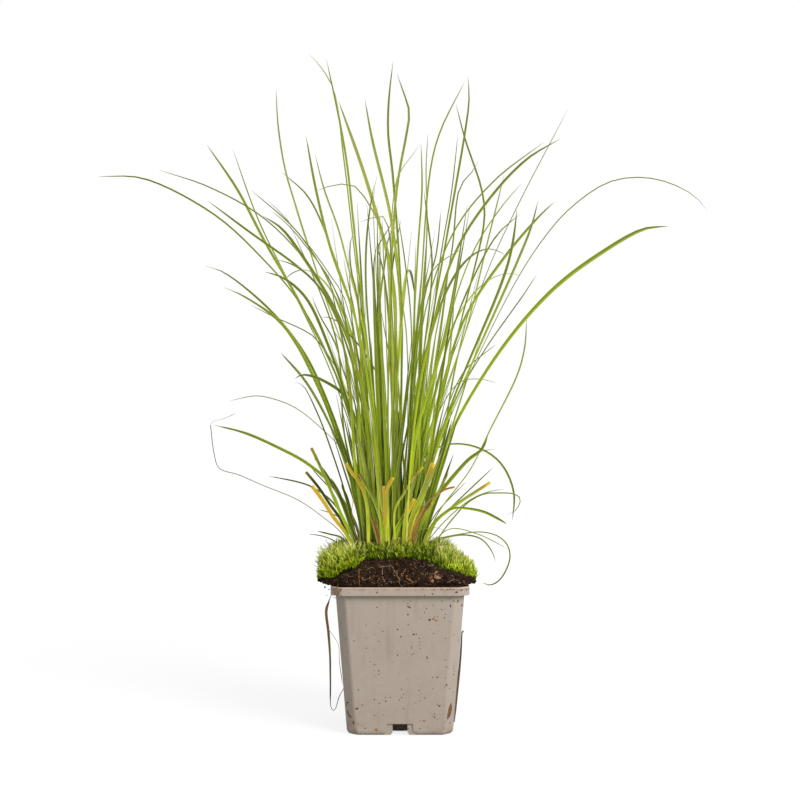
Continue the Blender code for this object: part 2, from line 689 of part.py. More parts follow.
def make_leaves():
    green = finish("leaf_green", (0.20, 0.33, 0.04), 0.45)
    for layer, (name, form, width, foot, path) in enumerate(LEAVES):
        roll = LARGEST_ROLL * math.sin(ROLL_STEP * layer)
        line = leaf_line(foot, path, layer)
        round_off(add_object(name, leaf_solid(line, form, width * MM, roll), green))
    for name, width, foot, direction, length, turned in ARCHED_LEAVES:
        line, side = arched_line(foot, math.radians(direction), length * MM, turned)
        round_off(add_object(name, leaf_solid(line, GROWN, width * MM, 0.0, side), green))


def make_thread():
    line = leaf_line(THREAD_FOOT, THREAD_PATH, THREAD_LAYER)
    straw = finish("straw_thread", (0.45, 0.42, 0.30), 0.6)
    add_object("dry_thread", leaf_solid(line, CUT, THREAD_WIDTH * MM, 0.0), straw)


def make_dead_leaf():
    count = MOST_STRETCHES
    line = [placed(point, DEAD_LEAF_DEPTH) for point in smooth_path(DEAD_LEAF_PATH, count)]
    straw = finish("dead_leaf", (0.30, 0.17, 0.08), 0.8)
    roll = DEAD_LEAF_ROLL
    add_object("dead_leaf_left", leaf_solid(line, CUT, DEAD_LEAF_WIDTH * MM, roll), straw)


def wall_half(height):
    """Half the pot's outer width at a height below the rim band."""
    return FOOT_HALF + (NECK_HALF - FOOT_HALF) * height / (POT_HEIGHT - BAND_HEIGHT)


def make_stuck_strand():
    bm = bmesh.new()
    bmesh.ops.create_cube(bm, size=2.0)
    for vert in bm.verts:
        height = STRAND_TOP if vert.co.z > 0 else STRAND_FOOT
        out = GAP if vert.co.x < 0 else GAP + STRAND_THICKNESS
        side = vert.co.y * STRAND_WIDTH / 2
        vert.co = (wall_half(height) + out, STRAND_DEPTH + side, height)
    add_object("dead_strand_right", bm, finish("dead_strand", (0.12, 0.07, 0.04), 0.85))


clear_scene()
make_pot()
make_soil()
make_crown()
make_moss()
make_leaves()
make_thread()
make_dead_leaf()
make_stuck_strand()
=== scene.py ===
import math
import random

import bmesh
import bpy
import numpy
from mathutils import Matrix, Vector, noise
from mathutils.bvhtree import BVHTree


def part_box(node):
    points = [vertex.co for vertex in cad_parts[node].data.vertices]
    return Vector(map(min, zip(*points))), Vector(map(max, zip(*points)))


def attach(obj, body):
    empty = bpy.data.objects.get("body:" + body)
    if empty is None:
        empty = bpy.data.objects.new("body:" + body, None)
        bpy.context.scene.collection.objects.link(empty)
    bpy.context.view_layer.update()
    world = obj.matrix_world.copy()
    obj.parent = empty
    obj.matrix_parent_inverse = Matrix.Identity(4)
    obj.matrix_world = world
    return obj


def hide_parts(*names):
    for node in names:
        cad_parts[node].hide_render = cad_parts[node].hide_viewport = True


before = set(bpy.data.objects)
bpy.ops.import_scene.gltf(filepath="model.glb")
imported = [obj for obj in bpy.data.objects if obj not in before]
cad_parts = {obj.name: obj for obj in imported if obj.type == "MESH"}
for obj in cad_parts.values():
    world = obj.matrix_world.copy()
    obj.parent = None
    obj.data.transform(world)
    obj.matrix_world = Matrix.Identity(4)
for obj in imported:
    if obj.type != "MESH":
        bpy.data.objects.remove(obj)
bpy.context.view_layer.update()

# Studio. A white floor that melts into a white sky, and one large soft lamp at the right in front.
# The camera looks level at the plant from a metre before the pot's rim. Floor and sky are seen
# white, but light the plant less, so that the side away from the lamp stays darker.
MM = 0.001
PIXEL = 0.643 * MM
PICTURE_CENTRE = 400.0
RIM_DISTANCE = 1.0
EYE = Vector((0.0, -1.045, 0.2181))
SENSOR = 36.0
WHITE = (1, 1, 1, 1)
SKY_LIGHT = 0.62
LAMP_PLACE = Vector((1.35, -1.5, 1.4))
LAMP_AIM = Vector((0, 0, 0.15))
LAMP_SIZE = 1.1
LAMP_POWER = 52.0
FLOOR_RADIUS = 14.0
FLOOR_GREY = (0.42, 0.42, 0.42, 1)
SHADE_GREY = (0.2, 0.2, 0.2, 1)
# The floor's glow grows with distance from the pot, and there is none right under its middle.
GLOW_NEAR, GLOW_FAR = 0.15, 1.4
FLOOR_GLOW_NEAR, FLOOR_GLOW_FAR = 0.82, 0.885
UNDER_NEAR, UNDER_FAR = 0.0185, 0.0215


def add_node(tree, kind, settings=None, inputs=None):
    """A node with its settings by name. Each input is a value, or an output to link from."""
    made = tree.nodes.new(kind)
    for key, value in (settings or {}).items():
        setattr(made, key, value)
    for key, given in (inputs or {}).items():
        if isinstance(given, bpy.types.NodeSocket):
            tree.links.new(given, made.inputs[key])
        else:
            made.inputs[key].default_value = given
    return made


def maths(tree, operation, *numbers, clamp=False):
    """The outcome of a sum. Each number is a value or an output."""
    settings = {"operation": operation, "use_clamp": clamp}
    return add_node(tree, "ShaderNodeMath", settings, dict(enumerate(numbers))).outputs[0]


def mapped(tree, source, low, high, to_low=0.0, to_high=1.0, kind="LINEAR"):
    """An output's range from low to high, mapped to another range."""
    ends = {"From Min": low, "From Max": high, "To Min": to_low, "To Max": to_high}
    settings = {"interpolation_type": kind}
    made = add_node(tree, "ShaderNodeMapRange", settings, {"Value": source, **ends})
    return made.outputs["Result"]


def length(tree, vector):
    settings = {"operation": "LENGTH"}
    return add_node(tree, "ShaderNodeVectorMath", settings, {0: vector}).outputs["Value"]


def show_and_light(tree, lit, seen, output):
    """The camera sees one shader, and the other one lights the plant."""
    rays = add_node(tree, "ShaderNodeLightPath").outputs["Is Camera Ray"]
    mix = add_node(tree, "ShaderNodeMixShader", inputs={0: rays, 1: lit.outputs[0], 2: seen.outputs[0]})
    tree.links.new(mix.outputs[0], tree.nodes[output].inputs[0])


def new_object(name, data):
    made = bpy.data.objects.new(name, data)
    bpy.context.collection.objects.link(made)
    return made


camera_data = bpy.data.cameras.new("camera")
camera_data.sensor_width = SENSOR
camera_data.lens = SENSOR * RIM_DISTANCE / (2 * PICTURE_CENTRE * PIXEL)
camera = new_object("camera", camera_data)
camera.location = EYE
camera.rotation_euler = (math.radians(90), 0.0, 0.0)
bpy.context.scene.camera = camera
bpy.context.scene.view_settings.view_transform = "Standard"

sky = bpy.data.worlds.new("sky")
sky.use_nodes = True
bpy.context.scene.world = sky
lit_sky = sky.node_tree.nodes["Background"]
lit_sky.inputs["Color"].default_value = WHITE
lit_sky.inputs["Strength"].default_value = SKY_LIGHT
seen_sky = add_node(sky.node_tree, "ShaderNodeBackground", inputs={"Color": WHITE})
show_and_light(sky.node_tree, lit_sky, seen_sky, "World Output")

lamp_data = bpy.data.lights.new("window_lamp", "AREA")
lamp_data.size = LAMP_SIZE
lamp_data.energy = LAMP_POWER
lamp = new_object("window_lamp", lamp_data)
lamp.location = LAMP_PLACE
lamp.rotation_euler = (LAMP_AIM - LAMP_PLACE).to_track_quat("-Z", "Y").to_euler()

floor_paint = bpy.data.materials.new("floor_paint")
floor_paint.use_nodes = True
paint_tree = floor_paint.node_tree
lit_floor = paint_tree.nodes["Principled BSDF"]
lit_floor.inputs["Base Color"].default_value = FLOOR_GREY
lit_floor.inputs["Roughness"].default_value = 0.9
floor_place = add_node(paint_tree, "ShaderNodeTexCoord").outputs["Object"]
from_pot = length(paint_tree, floor_place)
glow_ends = (GLOW_NEAR, GLOW_FAR, FLOOR_GLOW_NEAR, FLOOR_GLOW_FAR)
glow = mapped(paint_tree, from_pot, *glow_ends, kind="SMOOTHSTEP")
glow = maths(paint_tree, "MULTIPLY", glow, mapped(paint_tree, from_pot, UNDER_NEAR, UNDER_FAR))
seen_glow = add_node(paint_tree, "ShaderNodeEmission", inputs={"Color": WHITE, "Strength": glow})
seen_shade = add_node(paint_tree, "ShaderNodeBsdfDiffuse", inputs={"Color": SHADE_GREY})
both = {0: seen_shade.outputs[0], 1: seen_glow.outputs[0]}
seen_floor = add_node(paint_tree, "ShaderNodeAddShader", inputs=both)
show_and_light(paint_tree, lit_floor, seen_floor, "Material Output")
floor_bm = bmesh.new()
bmesh.ops.create_circle(floor_bm, cap_ends=True, radius=FLOOR_RADIUS, segments=96)
floor_mesh = bpy.data.meshes.new("floor")
floor_bm.to_mesh(floor_mesh)
floor_bm.free()
floor_mesh.materials.append(floor_paint)
floor = new_object("floor", floor_mesh)

# Pot. A square nursery pot, moulded in one piece from taupe recycled plastic: a tapered wall of
# one millimetre with chamfered corners, a rim band that steps out, and a drain slot in the foot
# of each side. It replaces the plain pot with the same shape and rounder edges.
_, POT_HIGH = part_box("pot")
RIM_HALF = POT_HIGH.x
POT_HEIGHT = POT_HIGH.z
BAND_HEIGHT = 5.6 * MM
NECK_HALF = 41.8 * MM
FOOT_HALF = 34.6 * MM
WALL = 1.0 * MM
CORNER_CHAMFER = 6.0 * MM
CORNER_SOFTNESS, CORNER_SEGMENTS = 1.3 * MM, 6
FOOT_FILLET, FOOT_SEGMENTS = 3.0 * MM, 8
RIM_SOFTNESS, RIM_SEGMENTS = 0.42 * MM, 4
RIM_EDGE_TURN = math.radians(60)
CREASE_ANGLE = math.radians(35)
SLOT_WIDTH = 9.7 * MM
SLOT_HEIGHT = 7.4 * MM
SLOT_DEPTH = 18.0 * MM
SLOT_FLARE = 2.2 * MM
CHEEK_TOP_WIDTH = 16.6 * MM
CHEEK_FOOT_WIDTH = 18.4 * MM
CHEEK_HEIGHT = 7.8 * MM
CHEEK_SET_BACK = 0.8 * MM
CHEEK_SHELF = 2.6 * MM
DRAIN_LENGTH = 9.0 * MM
DRAIN_WIDTH = 6.0 * MM
DRAIN_SET_BACK = 2.0 * MM
# A housing ends this far above the ground.
HOUSING_LIFT = 0.4 * MM


def paint(name, roughness, specular=0.5):
    """A new material, with its node tree and its surface shader."""
    made = bpy.data.materials.new(name)
    made.use_nodes = True
    shader = made.node_tree.nodes["Principled BSDF"]
    shader.inputs["Roughness"].default_value = roughness
    shader.inputs["Specular IOR Level"].default_value = specular
    return made, made.node_tree, shader


def finish_paint(tree, shader, colour, height=None, strength=0.0, distance=0.0):
    """Give a surface its colour, and its fine relief where it has one."""
    tree.links.new(colour, shader.inputs["Base Color"])
    if height is not None:
        relief = {"Height": height, "Strength": strength, "Distance": distance}
        bump = add_node(tree, "ShaderNodeBump", inputs=relief)
        tree.links.new(bump.outputs[0], shader.inputs["Normal"])


def opaque(colour):
    return (*colour, 1) if isinstance(colour, tuple) else colour


def mixed(tree, factor, first, second, blend="MIX"):
    """Two colours mixed by a factor. Each of the three is a value or an output."""
    settings = {"data_type": "RGBA", "blend_type": blend}
    inputs = {0: factor, 6: opaque(first), 7: opaque(second)}
    return add_node(tree, "ShaderNodeMix", settings, inputs).outputs[2]


def clouds(tree, place, scale, detail):
    """Soft noise from 0 to 1."""
    inputs = {"Vector": place, "Scale": scale, "Detail": detail}
    return add_node(tree, "ShaderNodeTexNoise", inputs=inputs).outputs[0]


def on_piece(tree):
    return add_node(tree, "ShaderNodeTexCoord").outputs["Object"]


def new_group(name, inputs, outputs):
    """A node group with named sockets: its tree, what it is given and what it puts out."""
    group = bpy.data.node_groups.new(name, "ShaderNodeTree")
    for way, sockets in (("INPUT", inputs), ("OUTPUT", outputs)):
        for socket, kind in sockets.items():
            group.interface.new_socket(socket, in_out=way, socket_type="NodeSocket" + kind)
    given = add_node(group, "NodeGroupInput").outputs
    return group, given, add_node(group, "NodeGroupOutput").inputs


def mottle_group():
    """Uneven colour: soft patches of a second colour, and finer ones inside them."""
    inputs = {"Colour": "Color", "Patch Colour": "Color", "Scale": "Float", "Amount": "Float"}
    group, given, result = new_group("mottle", inputs, {"Colour": "Color"})
    settings = {"Vector": on_piece(group), "Scale": given["Scale"], "Detail": 5.0, "Roughness": 0.65}
    patches = add_node(group, "ShaderNodeTexNoise", inputs=settings).outputs[0]
    strength = maths(group, "MULTIPLY", mapped(group, patches, 0.35, 0.68), given["Amount"])
    colour = mixed(group, strength, given["Colour"], given["Patch Colour"])
    group.links.new(colour, result["Colour"])
    return group


MOTTLE = mottle_group()


def mottled(tree, colour, patch_colour, scale, amount):
    """A colour or an output, with patches of a second colour."""
    inputs = {"Colour": opaque(colour), "Patch Colour": opaque(patch_colour), "Scale": scale,
              "Amount": amount}
    return add_node(tree, "ShaderNodeGroup", {"node_tree": MOTTLE}, inputs).outputs["Colour"]


def pot_material():
    """Matt taupe plastic: cloudy, dusty, stained by wet soil at its rim and foot, and speckled."""
    made, tree, shader = paint("pot_plastic", 0.5)
    colour = mottled(tree, (0.405, 0.338, 0.278), (0.36, 0.297, 0.240), 34.0, 0.5)
    colour = mottled(tree, colour, (0.44, 0.375, 0.315), 160.0, 0.4)
    place = on_piece(tree)
    x, y, z = add_node(tree, "ShaderNodeSeparateXYZ", inputs={0: place}).outputs
    # Runs of dried water: patches drawn out downwards.
    tall = add_node(tree, "ShaderNodeMapping", inputs={0: place, "Scale": (1.0, 1.0, 0.12)})
    runs = mapped(tree, clouds(tree, tall.outputs[0], 210.0, 3.0), 0.56, 0.8, 0.0, 0.5)
    colour = mixed(tree, runs, colour, (0.30, 0.235, 0.175))
    # Soil film, thickest just under the rim's lip and at the foot's corners.
    from_axis = length(tree, add_node(tree, "ShaderNodeCombineXYZ", inputs={0: x, 1: y}).outputs[0])
    corner = mapped(tree, from_axis, 0.038, 0.044, 0.45, 1.5)
    foot = maths(tree, "MULTIPLY", mapped(tree, z, 0.028, 0.0, 0.0, 0.5), corner)
    lip = mapped(tree, z, POT_HEIGHT - 0.004, POT_HEIGHT, 0.0, 0.9)
    patchy = clouds(tree, place, 240.0, 6.0)
    film = maths(tree, "MAXIMUM", foot, lip)
    film = maths(tree, "MULTIPLY", film, mapped(tree, patchy, 0.48, 0.72))
    colour = mixed(tree, film, colour, (0.27, 0.17, 0.10))
    # A line of dirt lies under the lip.
    below_lip = maths(tree, "COMPARE", z, POT_HEIGHT - 0.0015, 0.0003)
    groove = maths(tree, "MULTIPLY", below_lip, mapped(tree, patchy, 0.4, 0.6, 0.2, 0.75))
    colour = mixed(tree, groove, colour, (0.27, 0.16, 0.09))
    # The lip's edge is painted paler: a painted highlight along it.
    edge = mapped(tree, z, POT_HEIGHT - 0.0011, POT_HEIGHT - 0.0006, 0.0, 0.85)
    colour = mixed(tree, edge, colour, (0.52, 0.385, 0.295))
    # Fine specks, denser towards the right.
    cells = add_node(tree, "ShaderNodeTexVoronoi", inputs={"Vector": place, "Scale": 370.0}).outputs
    cell_shade = add_node(tree, "ShaderNodeSeparateColor", inputs={0: cells["Color"]}).outputs[0]
    chosen = maths(tree, "ADD", cell_shade, maths(tree, "MULTIPLY_ADD", x, 2.4, 0.80))
    speck = mapped(tree, cells["Distance"], 0.21, 0.12)
    specks = maths(tree, "MULTIPLY", speck, mapped(tree, chosen, 1.50, 1.66))
    colour = mixed(tree, specks, colour, (0.12, 0.062, 0.03))
    # Faint moulding texture.
    grain = clouds(tree, place, 900.0, 3.0)
    tree.links.new(mapped(tree, grain, 0.0, 1.0, 0.42, 0.66), shader.inputs["Roughness"])
    finish_paint(tree, shader, colour, grain, 0.12, 0.0004)
    return made


def add_object(name, bm):
    mesh = bpy.data.meshes.new(name)
    bm.to_mesh(mesh)
    bm.free()
    return new_object(name, mesh)


def place_piece(piece, material, nodes=()):
    """Give a piece its material, attach it to the root body, and hide the nodes that it stands for."""
    piece.data.materials.clear()
    piece.data.materials.append(material)
    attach(piece, "root")
    if nodes:
        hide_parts(*nodes)
    return piece


def combine(target, tool, operation):
    change = target.modifiers.new("change", "BOOLEAN")
    change.operation = operation
    change.object = tool
    change.solver = "EXACT"
    graph = bpy.context.evaluated_depsgraph_get()
    result = bpy.data.meshes.new_from_object(target.evaluated_get(graph))
    target.modifiers.clear()
    target.data = result
    bpy.data.objects.remove(tool, do_unlink=True)


def bars_on_four_sides(name, outline, start, end):
    """Four bars, one on each side: an outline in x and z, drawn along y and turned round z."""
    bm = bmesh.new()
    for turn in range(4):
        ring = [bm.verts.new((x, start, z)) for x, z in outline]
        face = bm.faces.new(ring)
        drawn = bmesh.ops.extrude_face_region(bm, geom=[face])["geom"]
        far_end = [v for v in drawn if isinstance(v, bmesh.types.BMVert)]
        bmesh.ops.translate(bm, vec=(0, end - start, 0), verts=far_end)
        quarter = Matrix.Rotation(turn * math.pi / 2, 3, "Z")
        bmesh.ops.rotate(bm, cent=(0, 0, 0), matrix=quarter, verts=ring + far_end)
    bmesh.ops.recalc_face_normals(bm, faces=bm.faces)
    return add_object(name, bm)


def mirrored(half_outline):
    return list(half_outline) + [(-x, z) for x, z in reversed(half_outline)]


def soften(bm, edges, offset, segments):
    bmesh.ops.bevel(
        bm, geom=edges, offset=offset, segments=segments, profile=0.5, affect="EDGES", material=-1
    )


def upright_edges(bm):
    return [e for e in bm.edges if abs(e.verts[0].co.z - e.verts[1].co.z) > POT_HEIGHT / 2]


def step(bm, face, factor, height):
    """Draw the top face out as a new ring at a height, scaled about the pot's axis."""
    drawn = bmesh.ops.extrude_face_region(bm, geom=[face])["geom"]
    for vert in (v for v in drawn if isinstance(v, bmesh.types.BMVert)):
        vert.co = (vert.co.x * factor, vert.co.y * factor, height)
    bm.faces.remove(face)
    return next(f for f in drawn if isinstance(f, bmesh.types.BMFace))


def is_rim_edge(edge, heights):
    """Whether an edge runs round the rim band's outer or upper side."""
    level = any(all(abs(v.co.z - h) < 0.1 * MM for v in edge.verts) for h in heights)
    reach = min(max(abs(v.co.x), abs(v.co.y)) for v in edge.verts)
    turns = edge.calc_face_angle(0.0) > RIM_EDGE_TURN
    return level and turns and reach > RIM_HALF - 4 * CORNER_CHAMFER


def pot_shell():
    """Tapered square wall with chamfered corners, a stepped rim band and a flat floor."""
    neck_height = POT_HEIGHT - BAND_HEIGHT
    bm = bmesh.new()
    bmesh.ops.create_cube(bm, size=2.0)
    for vert in bm.verts:
        half = NECK_HALF if vert.co.z > 0 else FOOT_HALF
        height = neck_height if vert.co.z > 0 else 0.0
        vert.co = (vert.co.x * half, vert.co.y * half, height)
    soften(bm, upright_edges(bm), CORNER_CHAMFER, 1)
    soften(bm, upright_edges(bm), CORNER_SOFTNESS, CORNER_SEGMENTS)
    floor_edges = [e for e in bm.edges if max(v.co.z for v in e.verts) < MM]
    soften(bm, floor_edges, FOOT_FILLET, FOOT_SEGMENTS)
    top = max(bm.faces, key=lambda f: f.calc_center_median().z)
    rings = (
        (RIM_HALF, neck_height),
        (RIM_HALF, POT_HEIGHT),
        (RIM_HALF - WALL, POT_HEIGHT),
        (RIM_HALF - WALL, neck_height + WALL),
        (NECK_HALF - WALL, neck_height + WALL),
        (FOOT_HALF - WALL, WALL),
    )
    half = NECK_HALF
    for next_half, height in rings:
        top = step(bm, top, next_half / half, height)
        half = next_half
    rim_edges = [e for e in bm.edges if is_rim_edge(e, (neck_height, POT_HEIGHT))]
    soften(bm, rim_edges, RIM_SOFTNESS, RIM_SEGMENTS)
    bmesh.ops.recalc_face_normals(bm, faces=bm.faces)
    return bm


def outline_foot(extra):
    """Where an outline ends below: a wall just above the ground, a cut well under it."""
    return HOUSING_LIFT if extra else -MM


def slot_outline(extra):
    half = SLOT_WIDTH / 2 + extra
    foot = outline_foot(extra)
    return mirrored(((half, SLOT_HEIGHT + extra), (half, SLOT_FLARE), (half + SLOT_FLARE, foot)))


def cheek_outline(extra):
    top = CHEEK_HEIGHT + extra
    foot = outline_foot(extra)
    return mirrored(((CHEEK_TOP_WIDTH / 2 + extra, top), (CHEEK_FOOT_WIDTH / 2 + extra, foot)))


def make_pot():
    pot = add_object("pot_moulded", pot_shell())
    wall_middle = -(FOOT_HALF - WALL / 2)
    slot_back = -(FOOT_HALF - SLOT_DEPTH)
    cheek_back = -(FOOT_HALF - CHEEK_SET_BACK - CHEEK_SHELF) - WALL
    housings = bars_on_four_sides("housings", slot_outline(WALL), wall_middle, slot_back + WALL)
    combine(pot, housings, "UNION")
    combine(pot, bars_on_four_sides("cheeks", cheek_outline(WALL), wall_middle, cheek_back), "UNION")
    outside = -(NECK_HALF + WALL)
    recess_back = -(FOOT_HALF - CHEEK_SET_BACK / 2)
    combine(pot, bars_on_four_sides("recess", cheek_outline(0), outside, recess_back), "DIFFERENCE")
    combine(pot, bars_on_four_sides("slot", slot_outline(0), outside, slot_back), "DIFFERENCE")
    half = DRAIN_WIDTH / 2
    drain = mirrored(((half, SLOT_HEIGHT + 2 * WALL), (half, SLOT_HEIGHT - WALL)))
    drain_end = slot_back - DRAIN_SET_BACK
    bars = bars_on_four_sides("drain", drain, drain_end - DRAIN_LENGTH, drain_end)
    combine(pot, bars, "DIFFERENCE")
    pot.data.shade_smooth()
    pot.data.set_sharp_from_angle(angle=CREASE_ANGLE)
    even = pot.modifiers.new("even_shading", "WEIGHTED_NORMAL")
    even.keep_sharp = True
    return place_piece(pot, pot_material(), ["pot"])


pot = make_pot()

# Root ball. Moist dark peat, knitted by roots, that fills the pot and bulges over its lip. The
# mound is one lumpy body; crumbs, grains of sand, bark and roots lie on it and stick out of it.
BULGE_LEFT = 52.5 * MM
BULGE_RIGHT = 49.6 * MM
BULGE_FRONT = 44.2 * MM
BULGE_BACK = 48.0 * MM
BULGE_SQUARENESS = 4.5
FILL_SQUARENESS = 7.0
FILL_FLOOR = 12.5 * MM
# The fill stops short of the pot's outside by its wall and a small gap.
FILL_INSET = 1.4 * MM
FILL_FOOT_INSET = 1.6 * MM
FILL_RISE = 0.4 * MM
BALL_STATIONS, BALL_ROWS = 200, 34
MOUND_TOP = 116.0 * MM
# The mound's slope from the crown out to the lip: share of the bulge's reach, height, and how
# much lower it is at the right.
MOUND_SLOPE = (
    (0.70, 116.0 * MM, 2.5 * MM),
    (0.80, 113.6 * MM, 5.0 * MM),
    (0.90, 109.2 * MM, 3.6 * MM),
    (0.98, 104.6 * MM, 2.2 * MM),
    (1.00, 101.0 * MM, 0.6 * MM),
    (0.985, 98.0 * MM, 0.0),
)
LUMP_SCALE = 150.0
LUMP_HEIGHT = 1.5 * MM
PEAT_GRAIN = 420.0
CRUMB_COUNT = 7400
CRUMB_SIZE = 0.3 * MM
# The clod at the left: its columns, the row and slope of its lower edge, and the crumbs under it,
# each by column, row, size in mm and depth.
CLOD_COUNT = 150
CLOD_LEFT, CLOD_RIGHT = 318.0, 331.5
CLOD_ROW, CLOD_SLOPE = 580.5, 0.36
LOOSE_CRUMBS = ((325, 587.2, 0.7, 0.016), (329, 589.5, 0.5, 0.016), (327, 595.5, 0.42, 0.016))


def rounded_reach(angle, half_x, half_y, squareness):
    """Reach of a rounded rectangle from its centre in a direction."""
    x_part = abs(math.cos(angle)) / half_x
    y_part = abs(math.sin(angle)) / half_y
    return (x_part**squareness + y_part**squareness) ** (-1.0 / squareness)


def mound_point(angle, share, height, lower_at_right=0.0):
    """A point of the mound: a share of the bulge's reach in a direction, at a height."""
    half_x = BULGE_RIGHT if math.cos(angle) > 0 else BULGE_LEFT
    half_y = BULGE_BACK if math.sin(angle) > 0 else BULGE_FRONT
    reach = share * rounded_reach(angle, half_x, half_y, BULGE_SQUARENESS)
    height -= lower_at_right * max(0.0, math.cos(angle)) ** 2
    return Vector((reach * math.cos(angle), reach * math.sin(angle), height))


def slope_point(angle, part):
    """A point of the mound's slope, from 0 at the crown's side to 1 at the lip."""
    place = part * (len(MOUND_SLOPE) - 1)
    row = min(int(place), len(MOUND_SLOPE) - 2)
    near = mound_point(angle, *MOUND_SLOPE[row])
    far = mound_point(angle, *MOUND_SLOPE[row + 1])
    return near.lerp(far, place - row)


def loft(bm, rings, closed=False, capped=True):
    """A skin through rings of equally many points, capped at both ends unless closed."""
    loops = []
    for ring in rings:
        verts = [bm.verts.new(point) for point in ring]
        count = len(verts)
        loops.append([bm.edges.new((verts[i], verts[(i + 1) % count])) for i in range(count)])
    pairs = list(zip(loops, loops[1:]))
    if closed:
        pairs.append((loops[-1], loops[0]))
    for lower, upper in pairs:
        bmesh.ops.bridge_loops(bm, edges=lower + upper)
    if capped and not closed:
        bmesh.ops.holes_fill(bm, edges=loops[0] + loops[-1], sides=0)
    return loops


def lump(point, scale, seed):
    """Unevenness of loose matter at a point, from about -1 to 1."""
    return noise.fractal((point + Vector((seed, 0, 0))) * scale, 0.8, 2.2, 4) * 1.3


def roughen(bm, scale, height, seed, keep=None):
    """Push a surface in and out along its normals by uneven lumps."""
    bm.normal_update()
    moves = [(v, v.normal * lump(v.co, scale, seed) * height) for v in bm.verts]
    for vert, move in moves:
        if keep is None or not keep(vert.co):
            vert.co += move


def peat_material():
    """Nearly black, with brown fibre in it, and rough."""
    made, tree, shader = paint("peat", 0.92, 0.15)
    colour = mottled(tree, (0.011, 0.005, 0.0024), (0.038, 0.017, 0.008), PEAT_GRAIN, 0.8)
    colour = mottled(tree, colour, (0.085, 0.042, 0.022), PEAT_GRAIN * 3.1, 0.4)
    relief = clouds(tree, on_piece(tree), PEAT_GRAIN * 4, 6.0)
    finish_paint(tree, shader, colour, relief, 0.9, 0.0008)
    return made


def make_root_ball():
    angles = [math.tau * i / BALL_STATIONS for i in range(BALL_STATIONS)]
    inner_foot = FOOT_HALF + (NECK_HALF - FOOT_HALF) * FILL_FLOOR / POT_HEIGHT - FILL_FOOT_INSET
    inner_neck = NECK_HALF - FILL_INSET
    inner_rim = RIM_HALF - FILL_INSET
    ledge = POT_HEIGHT - BAND_HEIGHT + FILL_INSET
    fill = ((inner_foot, FILL_FLOOR), (inner_neck, ledge), (inner_rim, ledge + 0.2 * MM),
            (inner_rim, POT_HEIGHT + FILL_RISE))
    rings = []
    for half, height in fill:
        reach = [rounded_reach(a, half, half, FILL_SQUARENESS) for a in angles]
        rings.append([Vector((r * math.cos(a), r * math.sin(a), height))
                      for r, a in zip(reach, angles)])
    for i in range(BALL_ROWS, -1, -1):
        rings.append([slope_point(a, i / BALL_ROWS) for a in angles])
    for share in (0.5, 0.25, 0.06):
        rings.append([mound_point(a, share, MOUND_TOP) for a in angles])
    bm = bmesh.new()
    loft(bm, rings)
    bmesh.ops.recalc_face_normals(bm, faces=bm.faces)
    roughen(bm, LUMP_SCALE, LUMP_HEIGHT, 3.1, keep=lambda p: p.z < POT_HEIGHT + 0.5 * MM)
    roughen(bm, LUMP_SCALE * 3.2, LUMP_HEIGHT * 0.35, 7.7, keep=lambda p: p.z < POT_HEIGHT + MM)
    ball = add_object("peat_mound", bm)
    ball.data.shade_smooth()
    return place_piece(ball, peat_material(), ["soil"])


mound = make_root_ball()
MOUND_TREE = BVHTree.FromObject(mound, bpy.context.evaluated_depsgraph_get())


def template(bm):
    """The points and triangles of a small shape, ready to be repeated."""
    bmesh.ops.triangulate(bm, faces=bm.faces)
    bm.verts.index_update()
    points = numpy.array([v.co[:] for v in bm.verts])
    faces = numpy.array([[v.index for v in f.verts] for f in bm.faces])
    bm.free()
    return points, faces


def pebble(seed, squash=1.0, detail=1, unevenness=0.35):
    """A small irregular lump of unit size."""
    bm = bmesh.new()
    bmesh.ops.create_icosphere(bm, subdivisions=detail, radius=1.0)
    for vert in bm.verts:
        vert.co *= 1 + unevenness * noise.noise(vert.co * 1.3 + Vector((seed * 5.1, 0, 0)))
        vert.co.z *= squash
    return template(bm)


def join_copies(name, shapes, copies):
    """One mesh from copies of shapes. Each copy: shape number, 4x4 matrix, three shades."""
    all_points, all_faces, all_shades = [], [], []
    start = 0
    for number, matrix, shades in copies:
        points, faces = shapes[number]
        turned = numpy.array(matrix)
        all_points.append(points @ turned[:3, :3].T + turned[:3, 3])
        all_faces.append(faces + start)
        along = (points[:, 2] - points[:, 2].min()) / max(1e-9, numpy.ptp(points[:, 2]))
        block = numpy.empty((len(points), 4))
        block[:, 0] = along
        block[:, 1:] = shades
        all_shades.append(block)
        start += len(points)
    points = numpy.concatenate(all_points)
    faces = numpy.concatenate(all_faces)
    mesh = bpy.data.meshes.new(name)
    mesh.vertices.add(len(points))
    mesh.vertices.foreach_set("co", points.ravel())
    mesh.loops.add(faces.size)
    mesh.loops.foreach_set("vertex_index", faces.ravel())
    mesh.polygons.add(len(faces))
    mesh.polygons.foreach_set("loop_start", numpy.arange(0, faces.size, 3))
    growth = mesh.attributes.new("growth", "FLOAT_COLOR", "POINT")
    growth.data.foreach_set("color", numpy.concatenate(all_shades).ravel())
    mesh.update(calc_edges=True)
    mesh.validate()
    return new_object(name, mesh)


def unit_at(depth):
    """Length of one pixel of the picture at a depth behind the pot's axis."""
    return PIXEL * (depth - EYE.y) / RIM_DISTANCE


def placed(point, depth):
    """Where a point of the picture lies at a depth."""
    unit = unit_at(depth)
    across = (point[0] - PICTURE_CENTRE) * unit
    return Vector((across, depth, EYE.z - (point[1] - PICTURE_CENTRE) * unit))


